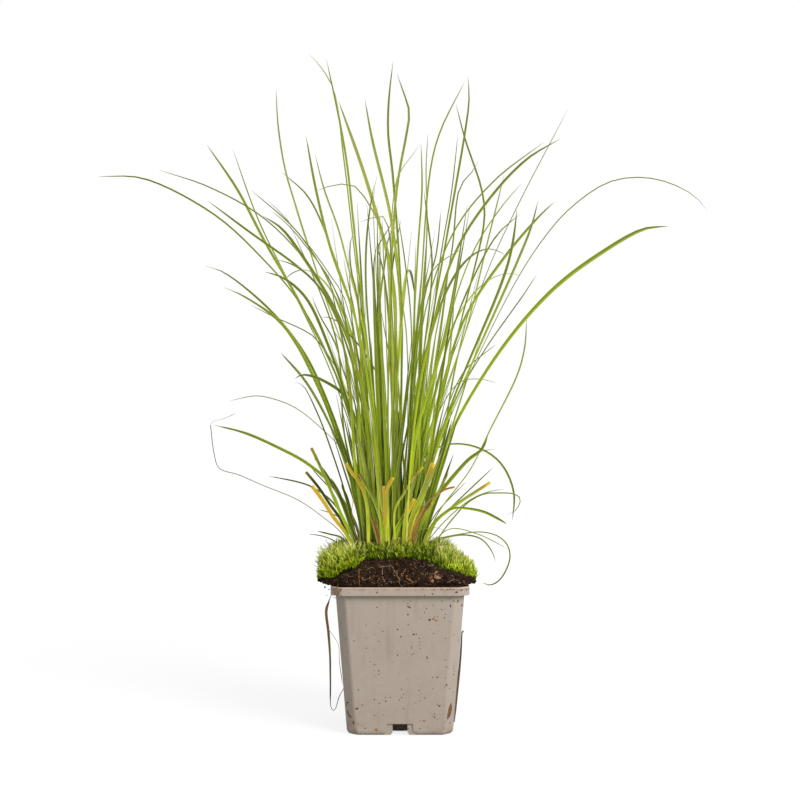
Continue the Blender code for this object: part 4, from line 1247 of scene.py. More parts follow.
def make_leaves():
    chance = random.Random(5)
    for layer, (name, width, foot, path) in enumerate(LEAVES):
        form = CUT if name in STUB_DRYNESS else LOW if name in LOW_LEAVES else GROWN
        roll = LARGEST_ROLL * math.sin(ROLL_STEP * layer)
        twist = chance.uniform(-1, 1) * LARGEST_TWIST
        tint = chance.uniform(0.4, 0.85)
        if name in SHADED_LEAVES:
            tint = chance.uniform(0.2, 0.36)
        elif name in SUNLIT_LEAVES:
            tint = chance.uniform(0.7, 1.0)
        looks = (LEAF_TINTS.get(name, tint), STUB_DRYNESS.get(name, 0.0))
        bm = bmesh.new()
        line = leaf_line(foot, path, layer, STUB_STEPS if form == CUT else LEAF_STEPS)
        inside = 0.0 if layer < OUTER_LAYERS else INNER_DARK_FOOT
        width *= SLIMMER.get(name, 1.0) * MM
        blade(bm, line, width, looks, form, roll, twist, shaded_foot=inside)
        place_piece(add_leaves(name + "_blade", bm), LEAF_GREEN, [name])
    for name, width, foot, direction, length, turned in ARCHED_LEAVES:
        line, side = arched_line(foot, math.radians(direction), length * MM, turned, LEAF_STEPS)
        bm = bmesh.new()
        blade(bm, line, width * MM, (chance.uniform(0.6, 1.0), 0.0), side=side)
        place_piece(add_leaves(name + "_blade", bm), LEAF_GREEN, [name])


make_leaves()

# Thin blades. Slim leaves and the ends of dried stubs, which grow between the main leaves and have
# the same finish. They are grouped by where they stand.
# Each: width in mm, layer, column of its foot, path in the picture, and how dry it is if at all.
THIN_BLADES = {
    "left_top": (
        (1.0, 9.5, 372, ((362, 390), (330, 285), (310, 249), (292, 226), (251, 190))),
        (0.9, 35.5, 368, ((350, 400), (315, 338), (297, 327), (274, 317), (251, 305))),
        (1.0, 13.5, 386,
         ((392, 400), (396, 300), (382, 230), (368, 203), (356, 187), (345, 184), (323, 188),
          (315, 191.5))),
        (1.2, 30.5, 384,
         ((385, 395), (375, 370), (357, 343), (345, 330), (337, 321), (328, 317), (321, 317))),
        (1.1, 17.5, 374, ((366, 450), (352, 395), (343, 370), (335, 343), (320, 316), (312, 297))),
        (0.8, 37.5, 378,
         ((366, 420), (345, 300), (330, 275), (310, 247), (297, 232), (280, 212), (267, 200))),
        (0.8, 10.5, 376, ((362, 400), (335, 290), (305, 245), (285, 222), (270, 210))),
        (0.9, 40.5, 381, ((368, 400), (340, 300), (318, 262), (308, 245), (300, 222), (293, 200))),
        (0.7, 27.5, 379, ((370, 450), (352, 385), (345, 350), (330, 325))),
    ),
    "middle_top": (
        (1.1, 7.6, 387, ((376, 430), (360, 320), (356, 290), (351, 270), (350, 245), (353, 233))),
        (0.8, 33.5, 390, ((388, 400), (385, 300), (382, 217))),
        (0.9, 12.5, 392, ((386, 400), (379, 300), (380, 240), (388, 232), (393, 215))),
        (0.9, 28.5, 402, ((414, 430), (424, 300), (427, 219), (426, 169), (428, 133))),
        (0.8, 15.5, 406, ((424, 400), (440, 260), (451, 196), (458, 134))),
        (0.7, 31.5, 398, ((392, 400), (390, 260), (398, 175), (409, 160), (420, 144))),
        (0.6, 36.5, 392, ((384, 400), (376, 270), (374, 190), (378, 173))),
        (1.0, 11.5, 409, ((420, 440), (433, 350), (452, 250), (460, 187), (472, 172), (479, 160))),
        (0.8, 5.5, 390, ((388, 420), (391, 300), (390, 240), (384, 217), (372, 218), (360, 222))),
    ),
    "right_top": (
        (1.1, 25.5, 410, ((436, 420), (466, 330), (488, 240), (499, 196), (504, 175))),
        (0.8, 9.8, 412, ((430, 460), (455, 400), (486, 348), (504, 322), (522, 297), (537, 274))),
        (0.8, 27.6, 414, ((424, 500), (440, 430), (463, 373), (483, 354.5), (497, 344))),
        (0.6, 32.5, 411, ((424, 470), (440, 410), (460, 382), (479, 379), (497, 383))),
        (0.8, 19.5, 401, ((408, 430), (417, 330), (433, 270), (465, 247))),
        (1.0, 34.5, 405, ((420, 440), (446, 330), (474, 250), (503, 205), (522, 183))),
        (1.1, 14.5, 407, ((424, 440), (449, 340), (470, 285), (497, 235), (520, 214))),
    ),
    "low_right": (
        (0.9, 6.5, 420,
         ((435, 541), (450, 522), (468, 502.5), (484, 494), (499, 493), (514, 494), (520, 498),
          (520, 502.5), (516, 510), (507, 515))),
        (1.0, 35.2, 428, ((445, 538), (465, 535), (481, 539), (491, 550), (496, 562))),
        (0.6, 37.2, 430, ((450, 529), (479, 534.6), (508, 549))),
        (0.9, 4.5, 417, ((432, 527), (453, 505.5), (493.6, 467))),
        (0.7, 38.2, 419, ((435, 515), (450, 498), (467, 481))),
        (1.3, 3.5, 408, ((413, 531.5), (421, 515), (432, 499), (444, 490), (454.6, 487)), 0.92),
        (0.7, 36.2, 424, ((445, 521), (470, 500), (488, 492), (505, 489))),
        (0.8, 39.2, 416, ((434, 500), (462, 465), (479, 452), (496, 449))),
    ),
    "low_middle": (
        (1.9, 0.2, 384, ((384, 535), (385, 512), (383.5, 486)), 0.70),
        (2.4, 0.5, 389, ((388, 539), (387.5, 510), (387.5, 489), (393, 477.5)), 0.24),
        (2.6, -0.6, 382, ((380, 545), (376, 530), (373, 520)), 0.95),
        (2.4, -0.2, 384, ((383, 530), (378, 510), (372, 495), (365, 483), (359.5, 473.5)), 0.05),
        (2.3, 1.4, 369, ((366, 500), (358, 480), (352, 473), (346, 463)), 0.40),
        (1.5, 0.8, 396, ((395, 510), (405, 492), (412, 480), (423, 467)), 0.24),
        (0.8, 0.9, 405, ((405, 530), (406, 485), (404, 460))),
        (1.1, 1.1, 413, ((415, 530), (420, 515), (427, 503), (437, 494)), 0.93),
        (1.2, 0.9, 411, ((412, 532), (418, 518), (424, 508)), 0.86),
        (0.9, 0.3, 415, ((417, 530), (422, 517), (431, 504)), 0.98),
        (0.8, 0.1, 409, ((410, 532), (413, 519), (420, 505)), 0.85),
        (0.9, -0.3, 380, ((378, 545), (374, 528), (370, 514)), 0.9),
        (1.9, 1.2, 410, ((411, 530), (418, 510), (428, 485), (440, 455))),
        (2.2, 0.4, 403, ((404, 528), (409, 500), (418, 470))),
        (2.2, 2.0, 379, ((377, 530), (371, 500), (368, 465))),
        (2.0, 0.6, 388, ((386, 528), (381, 500), (379, 470))),
        (1.9, 1.6, 416, ((421, 526), (434, 500), (449, 472))),
        (2.1, 3.4, 370, ((367, 530), (360, 505), (356, 485))),
        (0.4, -0.7, 404, ((408, 537), (417, 530.5), (430, 528), (438, 528), (446, 531))),
        (0.4, -0.8, 424, ((429, 536), (430, 532), (429.5, 538), (434, 542))),
        (0.35, -0.5, 392, ((395, 530), (404, 512), (406, 494), (403, 485)), 0.3),
        (0.35, -0.6, 361, ((358, 530), (352, 515), (353, 500)), 0.9),
        (2.8, 1.3, 413, ((413, 536), (414, 531), (415.5, 524)), 0.97),
        (1.9, 2.8, 400, ((397, 520), (395, 490), (400, 455), (404, 420))),
        (2.2, 3.1, 374, ((372, 530), (368, 505), (365, 470), (357, 430))),
        (2.2, 1.9, 391, ((392, 530), (394, 505), (393, 470), (397, 425))),
        (2.2, 2.2, 362, ((361, 530), (355, 500), (347, 465), (332, 430))),
        (1.9, 2.3, 419, ((422, 527), (430, 500), (438, 470), (452, 420))),
        (1.8, 5.5, 396, ((398, 520), (399, 480), (404, 440))),
        (1.7, 8.6, 378, ((374, 520), (367, 480), (358, 444))),
        (2.6, 30.4, 402, ((401.5, 510), (400, 460), (399, 410))),
        (2.4, 33.6, 384, ((383.5, 510), (383, 460), (381, 415))),
    ),
    "low_left": (
        (1.9, 9.2, 352, ((341, 520), (331, 506), (319, 488), (306, 472)), 0.06),
        (1.9, 4.2, 358, ((350, 520), (340, 498), (326, 474), (314, 458))),
        (2.6, 3.6, 359, ((352, 530), (346, 512), (338, 492), (331, 478))),
        (2.4, 6.1, 361, ((354, 532), (351, 515), (346, 496), (341, 484))),
        (0.8, 34.2, 350, ((334, 495), (315, 472), (305, 459))),
        (1.1, 35.8, 352, ((335, 505), (312, 487), (298, 482), (284, 479), (268, 476))),
        (1.1, 7.3, 350, ((342, 538), (329, 534), (317, 531))),
        (0.7, 11.2, 349, ((335, 541), (322, 536), (308, 534))),
        (0.7, 31.2, 352, ((344, 523), (335, 515), (318, 509))),
        (1.0, 38.8, 356, ((347, 500), (333, 455), (316, 410), (302, 384.5), (298, 384), (295, 382))),
    ),
    "middle_crossing": (
        (1.3, 16.4, 381, ((374, 430), (371, 360), (366, 290), (366, 250), (369, 215), (374, 185))),
        (1.2, 20.4, 388, ((384, 430), (378, 350), (375, 300), (374, 262), (377, 244))),
        (1.3, 24.4, 386, ((380, 430), (378, 350), (380, 300), (385, 262), (389, 236), (397, 226))),
        (1.4, 26.4, 393, ((392, 430), (391, 360), (387, 300), (383, 270), (377, 246))),
        (1.2, 29.5, 395, ((396, 430), (394, 350), (391, 290), (394, 255), (401, 220))),
        (0.9, 18.4, 404, ((411, 400), (411, 320), (405, 262), (398, 216))),
        (0.8, 21.3, 402, ((408, 400), (406, 330), (400, 290), (394, 250))),
        (1.2, 22.4, 410, ((417, 430), (424, 350), (430, 300), (432, 260), (428, 225), (424, 190))),
        (1.0, 17.6, 408, ((413, 430), (418, 340), (426, 290), (436, 255), (441, 210))),
    ),
}
THIN_STEPS = 30
THIN_ROLL = 0.3
# Groups away from the two that were read closest are a little wider than in the picture.
CLOSELY_READ = ("left_top", "low_middle")
WIDENED = 1.12
# Shares of a blade's length from the foot that are painted dark inside the clump, as shade.
THIN_DARK_FOOT, LEFT_DARK_FOOT, SECOND_DARK_FOOT = 0.08, 0.3, 0.5
# Blades of the groups that start with low spread out near the soil. Tints of those in front of the
# stubs, and of those just behind, which are painted darker as the stubs' shade.
STUB_LAYER = 1.5
FRONT_TINTS = (0.16, 0.5, 0.85, 1.0)
SECOND_TINTS = (0.06, 0.16, 0.4, 0.85)


def thin_looks(chance, group, layer, dryness):
    """Form, tint and painted-shade share of a thin blade. Low blades are painted darker, as the shade
    near the soil, and those at the left foot darker still.
    """
    low = group.startswith("low")
    tint = chance.uniform(0.12, 0.3) if low else chance.uniform(0.3, 0.8)
    form = CUT if dryness > 0.03 else LOW if low else GROWN
    inside = THIN_DARK_FOOT
    if group == "low_middle":
        in_front = layer < STUB_LAYER
        tint = chance.choice(FRONT_TINTS if in_front else SECOND_TINTS)
        inside = THIN_DARK_FOOT if in_front else SECOND_DARK_FOOT
    elif group == "low_left":
        tint *= 0.6
        inside = LEFT_DARK_FOOT
    return form, tint, inside


def make_thin_blades():
    chance = random.Random(19)
    for group, blades in THIN_BLADES.items():
        bm = bmesh.new()
        for width, layer, foot, path, *dry in blades:
            dryness = dry[0] if dry else 0.0
            line = leaf_line(foot, path, layer, THIN_STEPS)
            twist = chance.uniform(-1, 1) * LARGEST_TWIST
            form, tint, inside = thin_looks(chance, group, layer, dryness)
            width *= MM if group in CLOSELY_READ else WIDENED * MM
            blade(bm, line, width, (tint, dryness), form, THIN_ROLL, twist, shaded_foot=inside)
        place_piece(add_leaves("thin_blades_" + group, bm), LEAF_GREEN)


make_thin_blades()

# Heart. Slender upright blades that fill the clump between the feet and the fan, as they grew.
# Short ones lean out more than tall ones, and some are painted dark as shaded blades inside the
# clump. Rows and columns are in pixels of the picture.
HEART_COUNT = 108
# A young leaf's share of its full width along its length: it tapers from its middle.
SLENDER = ((0.0, 0.65), (0.35, 0.9), (0.62, 0.95), (0.82, 0.6), (0.94, 0.26), (1.0, 0.04))
HEART_STEPS = 26
HEART_LEFT, HEART_RIGHT = 361.0, 422.5
HEART_MIDDLE, HEART_SPREAD = 391.0, 31.5
HEART_FOOT_ROW = 545.0
HEART_TALL_ROW = 380.0
HEART_LAYERS = (0.5, 43.5)
HEART_THIRD = 14.7
SHORT_SHARE = 0.36
SHORT_TOPS, TALL_TOPS = (385, 490), (200, 370)
SHORT_WIDTHS, TALL_WIDTHS = (1.5, 2.9), (1.2, 2.8)
SHORT_FAN, TALL_FAN = 0.30, 0.15
# Shares of short and tall blades painted dark as shade, and shares of a blade's length from the foot
# painted dark inside the clump.
DARK_SHARE_SHORT, DARK_SHARE_TALL = 0.34, 0.12
OUTER_DARK_FOOT, HEART_DARK_FOOT = 0.24, 0.5
HEART_ROLL = 0.95


def heart_blade(chance):
    """Foot, path, layer and width of a blade in the heart of the clump."""
    foot = chance.uniform(HEART_LEFT, HEART_RIGHT)
    from_middle = (foot - HEART_MIDDLE) / HEART_SPREAD
    short = chance.random() < SHORT_SHARE
    top = chance.uniform(*(SHORT_TOPS if short else TALL_TOPS))
    rise = HEART_FOOT_ROW - top
    width = chance.uniform(*(SHORT_WIDTHS if short else TALL_WIDTHS))
    stray = 0.06 if width > 1.7 else 0.13
    fan = SHORT_FAN if short else TALL_FAN
    reach = rise * (0.012 + from_middle * fan + chance.gauss(0, stray))
    low, high = chance.uniform(0.0, 0.4), chance.uniform(0.32, 0.72)
    if short:
        low, high = 0.3, 0.62
    path = (
        (foot + reach * low, HEART_FOOT_ROW - rise * 0.3),
        (foot + reach * high, HEART_FOOT_ROW - rise * 0.62),
        (foot + reach, top),
    )
    return foot, path, chance.uniform(*HEART_LAYERS), width


def make_heart():
    chance = random.Random(23)
    groups = ("heart_front", "heart_middle", "heart_back")
    meshes = {name: bmesh.new() for name in groups}
    for _ in range(HEART_COUNT):
        foot, path, layer, width = heart_blade(chance)
        line = leaf_line(foot, path, layer, HEART_STEPS)
        twist = chance.uniform(-3, 3) * LARGEST_TWIST
        tall = path[-1][1] < HEART_TALL_ROW
        dark = chance.random() < (DARK_SHARE_TALL if tall else DARK_SHARE_SHORT)
        tint = chance.uniform(0.18, 0.36) if dark else chance.uniform(0.38, 0.95)
        roll = chance.uniform(-HEART_ROLL, HEART_ROLL)
        bm = meshes[groups[min(2, int(layer / HEART_THIRD))]]
        inside = OUTER_DARK_FOOT if layer < OUTER_LAYERS else HEART_DARK_FOOT
        blade(bm, line, width * MM, (tint, 0.0), SLENDER, roll, twist, shaded_foot=inside)
    for name, bm in meshes.items():
        place_piece(add_leaves(name, bm), LEAF_GREEN)


make_heart()

# Dry thread. A hair-thin dead blade of straw colour, grown from the clump's left foot. It runs out
# low at the left, turns up, and ends in a finer curl.
THREAD_FOOT, THREAD_LAYER = 353, 6.5
THREAD_WIDTH, CURL_WIDTH = 0.55 * MM, 0.3 * MM
THREAD_PATH = (
    (340, 531.5), (323.5, 517.5), (298, 500), (262, 485), (239, 475), (219, 468), (214, 453),
    (210.5, 425),
)
CURL_PATH = ((210.5, 425), (213, 421.5), (221, 419.5), (229, 416.5), (236, 413))
STRAW = ((0.0, (0.42, 0.38, 0.16)), (0.5, (0.34, 0.30, 0.18)), (1.0, (0.26, 0.22, 0.15)))


def dry_material(name, stops):
    """Dead leaf, coloured along its length, with coarse ribs."""
    made, tree, shader = paint(name, 0.75)
    growth = grown(tree, 30.0)
    colour = mottled(tree, ramp(tree, growth["Along"], stops), (0.16, 0.10, 0.05), 260.0, 0.5)
    finish_paint(tree, shader, colour, growth["Relief"], 0.5, 0.0003)
    return made


def dry_piece(name, finish, stops, node, blades):
    """A piece of dead blades. Each blade: line, width, form, and its roll and twist if any."""
    bm = bmesh.new()
    for line, width, *shape in blades:
        blade(bm, line, width, (0.5, 0.0), *shape)
    place_piece(add_leaves(name, bm), dry_material(finish, stops), [node])


def at_depth(path, depth, count):
    """A path of the picture as a line in space, all at one depth."""
    return [placed(point, depth) for point in smooth_path(path, count)]


thread_line = leaf_line(THREAD_FOOT, THREAD_PATH, THREAD_LAYER, 60)
curl_line = at_depth(CURL_PATH, thread_line[-1].y, 16)
thread_blades = ((thread_line, THREAD_WIDTH, CUT), (curl_line, CURL_WIDTH, GROWN))
dry_piece("dry_thread_hair", "straw_thread", STRAW, "dry_thread", thread_blades)

# Dead leaf. A long dry blade that hangs from under the lip down the pot's left side, brown at the
# top, bleached in the middle, and doubled back at its tip. A thread has split off it.
DEAD_LEAF_PATH = (
    (332.8, 576.5), (332.6, 590), (329, 601), (326.3, 610.5), (328.3, 631), (330, 655),
    (330.4, 680), (331.3, 708), (333.5, 710.5), (335.5, 708.5), (339, 697), (345, 686),
)
DEAD_LEAF_DEPTH = 18.0 * MM
DEAD_LEAF_WIDTH = 1.9 * MM
# Share of its width from the top down: a thread, then broad from its kink, then shrivelled.
DEAD_LEAF_SHARES = (
    (0.0, 0.22), (0.13, 0.26), (0.20, 1.0), (0.36, 1.0), (0.50, 0.85), (0.72, 0.7), (0.79, 0.3),
    (0.84, 0.25), (0.90, 0.42), (1.0, 0.3),
)
# Threads that have split off it: width in mm, and path.
SPLIT_THREADS = (
    (0.5, ((329.5, 630.5), (334, 637), (338.3, 644), (339.5, 662), (342.6, 685))),
    (0.4, ((331.5, 594), (333.5, 597), (336.5, 598.5))),
)
DEAD_LEAF_TURN = math.radians(30)
DEAD_LEAF_COLOURS = (
    (0.0, (0.10, 0.09, 0.05)), (0.14, (0.17, 0.13, 0.06)), (0.19, (0.62, 0.36, 0.11)),
    (0.40, (0.74, 0.43, 0.12)), (0.52, (0.52, 0.40, 0.22)), (0.66, (0.40, 0.35, 0.22)),
    (0.76, (0.15, 0.13, 0.07)), (1.0, (0.19, 0.17, 0.09)),
)
hanging_line = at_depth(DEAD_LEAF_PATH, DEAD_LEAF_DEPTH, 60)
dead_blades = [(hanging_line, DEAD_LEAF_WIDTH, DEAD_LEAF_SHARES, DEAD_LEAF_TURN, DEAD_LEAF_TURN)]
for width, path in SPLIT_THREADS:
    dead_blades.append((at_depth(path, DEAD_LEAF_DEPTH - MM, 16), width * MM, GROWN))
dry_piece("dead_leaf_hanging", "dead_leaf", DEAD_LEAF_COLOURS, "dead_leaf_left", dead_blades)

# Dead strand. A brown shrivelled blade that is stuck to the pot's right side and stands off it at
# its upper end.
STRAND_LOW, STRAND_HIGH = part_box("dead_strand_right")
STRAND_PATH = (
    (463.6, 632.5), (462.6, 630), (461.9, 634), (461.2, 646), (459.8, 665), (457.9, 684),
    (456.2, 701), (454.2, 722),
)
STRAND_WIDTH = 1.7 * MM
STRAND_SHARES = ((0.0, 0.3), (0.06, 0.5), (0.3, 0.8), (0.55, 1.0), (0.85, 0.9), (1.0, 0.45))
STRAND_ROLL = math.radians(20)
STRAND_COLOURS = (
    (0.0, (0.05, 0.04, 0.03)), (0.3, (0.07, 0.05, 0.03)), (0.7, (0.13, 0.09, 0.05)),
    (1.0, (0.09, 0.06, 0.035)),
)
strand_line = at_depth(STRAND_PATH, (STRAND_LOW.y + STRAND_HIGH.y) / 2, 40)
strand_blades = ((strand_line, STRAND_WIDTH, STRAND_SHARES, STRAND_ROLL),)
dry_piece("dead_strand_stuck", "dead_strand", STRAND_COLOURS, "dead_strand_right", strand_blades)

# Crown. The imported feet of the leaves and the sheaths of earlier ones, green to straw and brown,
# standing close together in the top of the root ball.
CROWN_CENTRE_X = -3.5 * MM
CROWN_HALF_X = 31.5 * MM
CROWN_HALF_Y = 26.5 * MM
CROWN_SQUARENESS = 3.6
CROWN_STATIONS = 72
# Rings up the crown's rounded top: how far in from its side, and height, in mm.
CROWN_RINGS = (
    (0.0, 106.5), (0.0, 117.6), (0.6, 118.2), (3.0, 118.4), (12.0, 118.5), (22.0, 118.5),
)
SHEATH_COUNT = 210
SHEATH_WIDTHS = (1.3, 3.2)
SHEATH_HEIGHTS = (3, 11)


def sheath_material():
    """Green to straw and brown, by how old and dry a sheath is."""
    made, tree, shader = paint("leaf_foot", 0.65, 0.2)
    growth = grown(tree, 36.0)
    # Its colours are kept dark, partly as painted shade at the foot of the clump.
    colour = ramp(tree, growth["Dryness"], (
        (0.0, (0.08, 0.13, 0.006)), (0.4, (0.20, 0.26, 0.014)), (0.62, (0.34, 0.33, 0.03)),
        (0.76, (0.44, 0.28, 0.03)), (0.88, (0.24, 0.10, 0.025)), (1.0, (0.07, 0.03, 0.01)),
    ))
    colour = mottled(tree, colour, (0.07, 0.07, 0.008), 300.0, 0.5)
    finish_paint(tree, shader, colour, growth["Relief"], 0.4, 0.0002)
    return made


def make_crown():
    chance = random.Random(31)
    bm = bmesh.new()
    rings = []
    for shrink, height in CROWN_RINGS:
        ring = []
        for i in range(CROWN_STATIONS):
            angle = math.tau * i / CROWN_STATIONS
            half_x = CROWN_HALF_X - shrink * MM
            half_y = CROWN_HALF_Y - shrink * MM
            reach = rounded_reach(angle, half_x, half_y, CROWN_SQUARENESS)
            ring.append(Vector((CROWN_CENTRE_X + reach * math.cos(angle),
                                reach * math.sin(angle), height * MM)))
        rings.append(ring)
    loft(bm, rings)
    roughen(bm, 260.0, 0.9 * MM, 1.3, keep=lambda p: p.z < 110 * MM)
    for _ in range(SHEATH_COUNT):
        angle = chance.uniform(0, math.tau)
        share = math.sqrt(chance.random()) * 0.86
        reach = share * rounded_reach(angle, CROWN_HALF_X, CROWN_HALF_Y, CROWN_SQUARENESS)
        out = level_way(angle)
        foot = Vector((CROWN_CENTRE_X, 0, CROWN_TOP - MM)) + out * reach
        height = chance.uniform(*SHEATH_HEIGHTS) * MM * (1 - 0.6 * share * abs(math.cos(angle)))
        lean = out * share * chance.uniform(0.1, 0.45)
        lean += Vector((chance.uniform(-0.12, 0.12), chance.uniform(-0.12, 0.12), 0))
        line = [foot + (Vector((0, 0, 1)) + lean * t) * height * t for t in (0, 0.3, 0.6, 0.85, 1)]
        side = Vector((-math.sin(angle), math.cos(angle), 0))
        side.rotate(Matrix.Rotation(chance.uniform(-0.8, 0.8), 3, "Z"))
        width = chance.uniform(*SHEATH_WIDTHS) * MM
        blade(bm, line, width, (chance.random(), chance.random()), CUT, side=side)
    place_piece(add_leaves("crown_sheaths", bm), sheath_material(), ["crown"])


make_crown()

# Moss. A mat of fine upright shoots that grow from a low dark felt up to the outside of the solid
# mat. They are long and bright yellow-green at the left and the right, and painted darker in
# front, as the shade where they stand among the leaves.
MOSS_INSET = 0.7 * MM
# Each row: direction in degrees, reach down the slope, height, and how far it stands proud.
MOSS_ROWS = (
    (-180, 1.00, 14.5 * MM, 3.6 * MM),
    (-155, 0.92, 13.0 * MM, 3.4 * MM),
    (-140, 0.62, 11.5 * MM, 2.2 * MM),
    (-125, 0.24, 10.0 * MM, 1.0 * MM),
    (-95, 0.12, 9.5 * MM, 0.6 * MM),
    (-65, 0.16, 9.0 * MM, 0.6 * MM),
    (-50, 0.46, 8.5 * MM, 1.0 * MM),
    (-35, 0.78, 8.0 * MM, 1.2 * MM),
    (-15, 1.00, 8.0 * MM, 1.4 * MM),
    (45, 1.00, 8.0 * MM, 1.6 * MM),
    (90, 1.00, 6.5 * MM, 2.0 * MM),
    (135, 1.00, 8.5 * MM, 3.0 * MM),
    (180, 1.00, 14.5 * MM, 3.6 * MM),
)
# Across the mat from its lower edge to the crown: share of its reach, of its height, and of how
# far it stands proud of the soil.
MOSS_SECTION = (
    (1.00, 0.18, 1.00),
    (0.82, 0.42, 0.60),
    (0.55, 0.80, 0.25),
    (0.25, 0.78, 0.08),
    (0.00, 0.60, 0.00),
)
LEAST_SHOOT = 4.6 * MM
BARE_EDGE = 0.1
# The mat is thin and ragged along its edge at the far left.
RAGGED_WIDTH = math.radians(32)
RAGGED_EDGE = 0.45
RAGGED_GAPS = 0.6
STRAY_SHARE = 0.07
# At the left, moss creeps down over the soil: its lower edge in the picture.
CREEPING_EDGE = ((322, 580.5), (331, 580), (338, 577.5), (341, 571.5), (350, 571), (356, 569.5),
                 (360, 565), (367, 559.5))
CREEPING_BAND = 10.0
CREEPING_COUNT = 620
AMONG_COUNT = 2300
FELT_SHARE = 0.12
FELT_STATIONS, FELT_ROWS = 150, 16
# Forms of a shoot: how far each bends to one side, in widths.
SHOOT_BENDS = (1.5, 3.0, 5.0, 7.0, 10.0, 14.0)
# Pieces of the mat: directions from and to, how many shoots, how far they lean about in
# radians, how dark most of them are (in front, painted shade among the leaves), and the least bent
# of the four forms that they have.
MOSS_QUARTERS = {
    "moss_left": (130, 232, 2500, 0.55, 0.72, 2),
    "moss_front": (226, 314, 2300, 0.4, 3.4, 1),
    "moss_right": (308, 405, 3600, 0.2, 1.1, 0),
    "moss_back": (45, 130, 2400, 0.3, 1.0, 0),
}


def moss_extent(angle):
    """Reach, height and standing proud of the mat in a direction."""
    degrees = math.degrees(angle) % 360
    return blend_rows(MOSS_ROWS, degrees - 360 if degrees > 180 else degrees)


def moss_height(angle, across):
    """Where the mat stands, from 0 at its lower edge to 1 at the crown, and its rise there."""
    reach, height, proud = moss_extent(angle)
    place = across * (len(MOSS_SECTION) - 1)
    row = min(int(place), len(MOSS_SECTION) - 2)
    rest = place - row
    part, up, out = (a + (b - a) * rest for a, b in zip(MOSS_SECTION[row], MOSS_SECTION[row + 1]))
    outward = level_way(angle)
    foot = slope_point(angle, reach * part) - outward * MOSS_INSET
    return foot, Vector((0, 0, height * up)) + outward * proud * out


def moss_material():
    """Painted dark at the foot of a shoot, as the shade deep in the mat, and yellow-green above, tinted
    shoot by shoot.
    """
    made, tree, shader = paint("moss_bright", 0.7, 0.06)
    growth = grown(tree, 1.0)
    colour = ramp(tree, growth["Along"], (
        (0.0, (0.008, 0.012, 0.002)), (0.22, (0.04, 0.075, 0.003)), (0.42, (0.30, 0.46, 0.008)),
        (0.66, (0.66, 0.84, 0.02)), (0.88, (0.86, 0.96, 0.06)), (1.0, (0.95, 0.98, 0.14)),
    ))
    # Shoots differ from dark to bright; the brightest go past full white, which is painted light.
    tints = ramp(tree, growth["Across"], (
        (0.0, (0.06, 0.09, 0.02)), (0.3, (0.27, 0.37, 0.12)), (0.6, (0.92, 0.96, 0.66)),
        (1.0, (1.45, 1.28, 1.7)),
    ))
    # Painted light: the tips are painted pale where the mat is highest, as light through them.
    high = mapped(tree, growth["Tint"], 0.15, 0.85)
    tip_light = maths(tree, "MULTIPLY", high, mapped(tree, growth["Along"], 0.45, 0.95))
    colour = mixed(tree, tip_light, colour, (1.0, 0.98, 0.40))
    colour = mixed(tree, 1.0, colour, tints, "MULTIPLY")
    finish_paint(tree, shader, mottled(tree, colour, (0.09, 0.14, 0.008), 130.0, 0.4))
    return made


def make_felt():
    """The low mat that the shoots stand in, painted nearly black as the shade deep in the mat."""
    rings = []
    for i in range(FELT_STATIONS):
        angle = math.tau * i / FELT_STATIONS
        ring = [moss_height(angle, 1 - k / 5)[0] - Vector((0, 0, 2 * MM)) for k in range(6)]
        for k in range(FELT_ROWS + 1):
            foot, rise = moss_height(angle, k / FELT_ROWS)
            ring.append(foot + rise * FELT_SHARE)
        rings.append(ring)
    bm = bmesh.new()
    loft(bm, rings, closed=True)
    bmesh.ops.recalc_face_normals(bm, faces=bm.faces)
    roughen(bm, 330.0, 0.8 * MM, 9.4)
    felt = add_object("moss_felt", bm)
    felt.data.shade_smooth()
    dark = plain_paint("moss_dark", 0.9, (0.012, 0.013, 0.003), (0.04, 0.055, 0.005), 420.0, 0.9)
    place_piece(felt, dark, ["moss"])


def shoot(seed, curl):
    """A fine tapered shoot of unit height, bent to one side, with two short twigs."""
    chance = random.Random(seed)
    way = chance.uniform(0, math.tau)

    def centre(part):
        lean = curl * part * part
        return Vector((lean * math.cos(way), lean * math.sin(way), part))

    def ring(middle, radius):
        turns = (math.tau * k / 3 for k in range(3))
        return [middle + level_way(t) * radius for t in turns]

    bm = bmesh.new()
    loft(bm, [ring(centre(part), radius) for part, radius in
              ((0.0, 0.9), (0.4, 1.0), (0.75, 0.75), (1.0, 0.2))])
    for part in (chance.uniform(0.35, 0.55), chance.uniform(0.6, 0.8)):
        turn = chance.uniform(0, math.tau)
        reach = Vector((math.cos(turn) * 2.6, math.sin(turn) * 2.6, chance.uniform(0.2, 0.34)))
        loft(bm, [ring(centre(part), 0.6), ring(centre(part) + reach, 0.22)])
    bmesh.ops.recalc_face_normals(bm, faces=bm.faces)
    return template(bm)


def add_shoot(chance, copies, foot, rise, widths, darkness, tip_light):
    """A copy of any of the forms of shoot. A form bends by shares of its height."""
    spin = chance.uniform(0, 6.28)
    width = MM * chance.uniform(*widths)
    matrix = standing(foot, rise, spin, (width, width, rise.length))
    shades = [chance.random() ** darkness, tip_light, 0.0]
    copies.append((chance.randrange(len(SHOOT_BENDS)), matrix, shades))


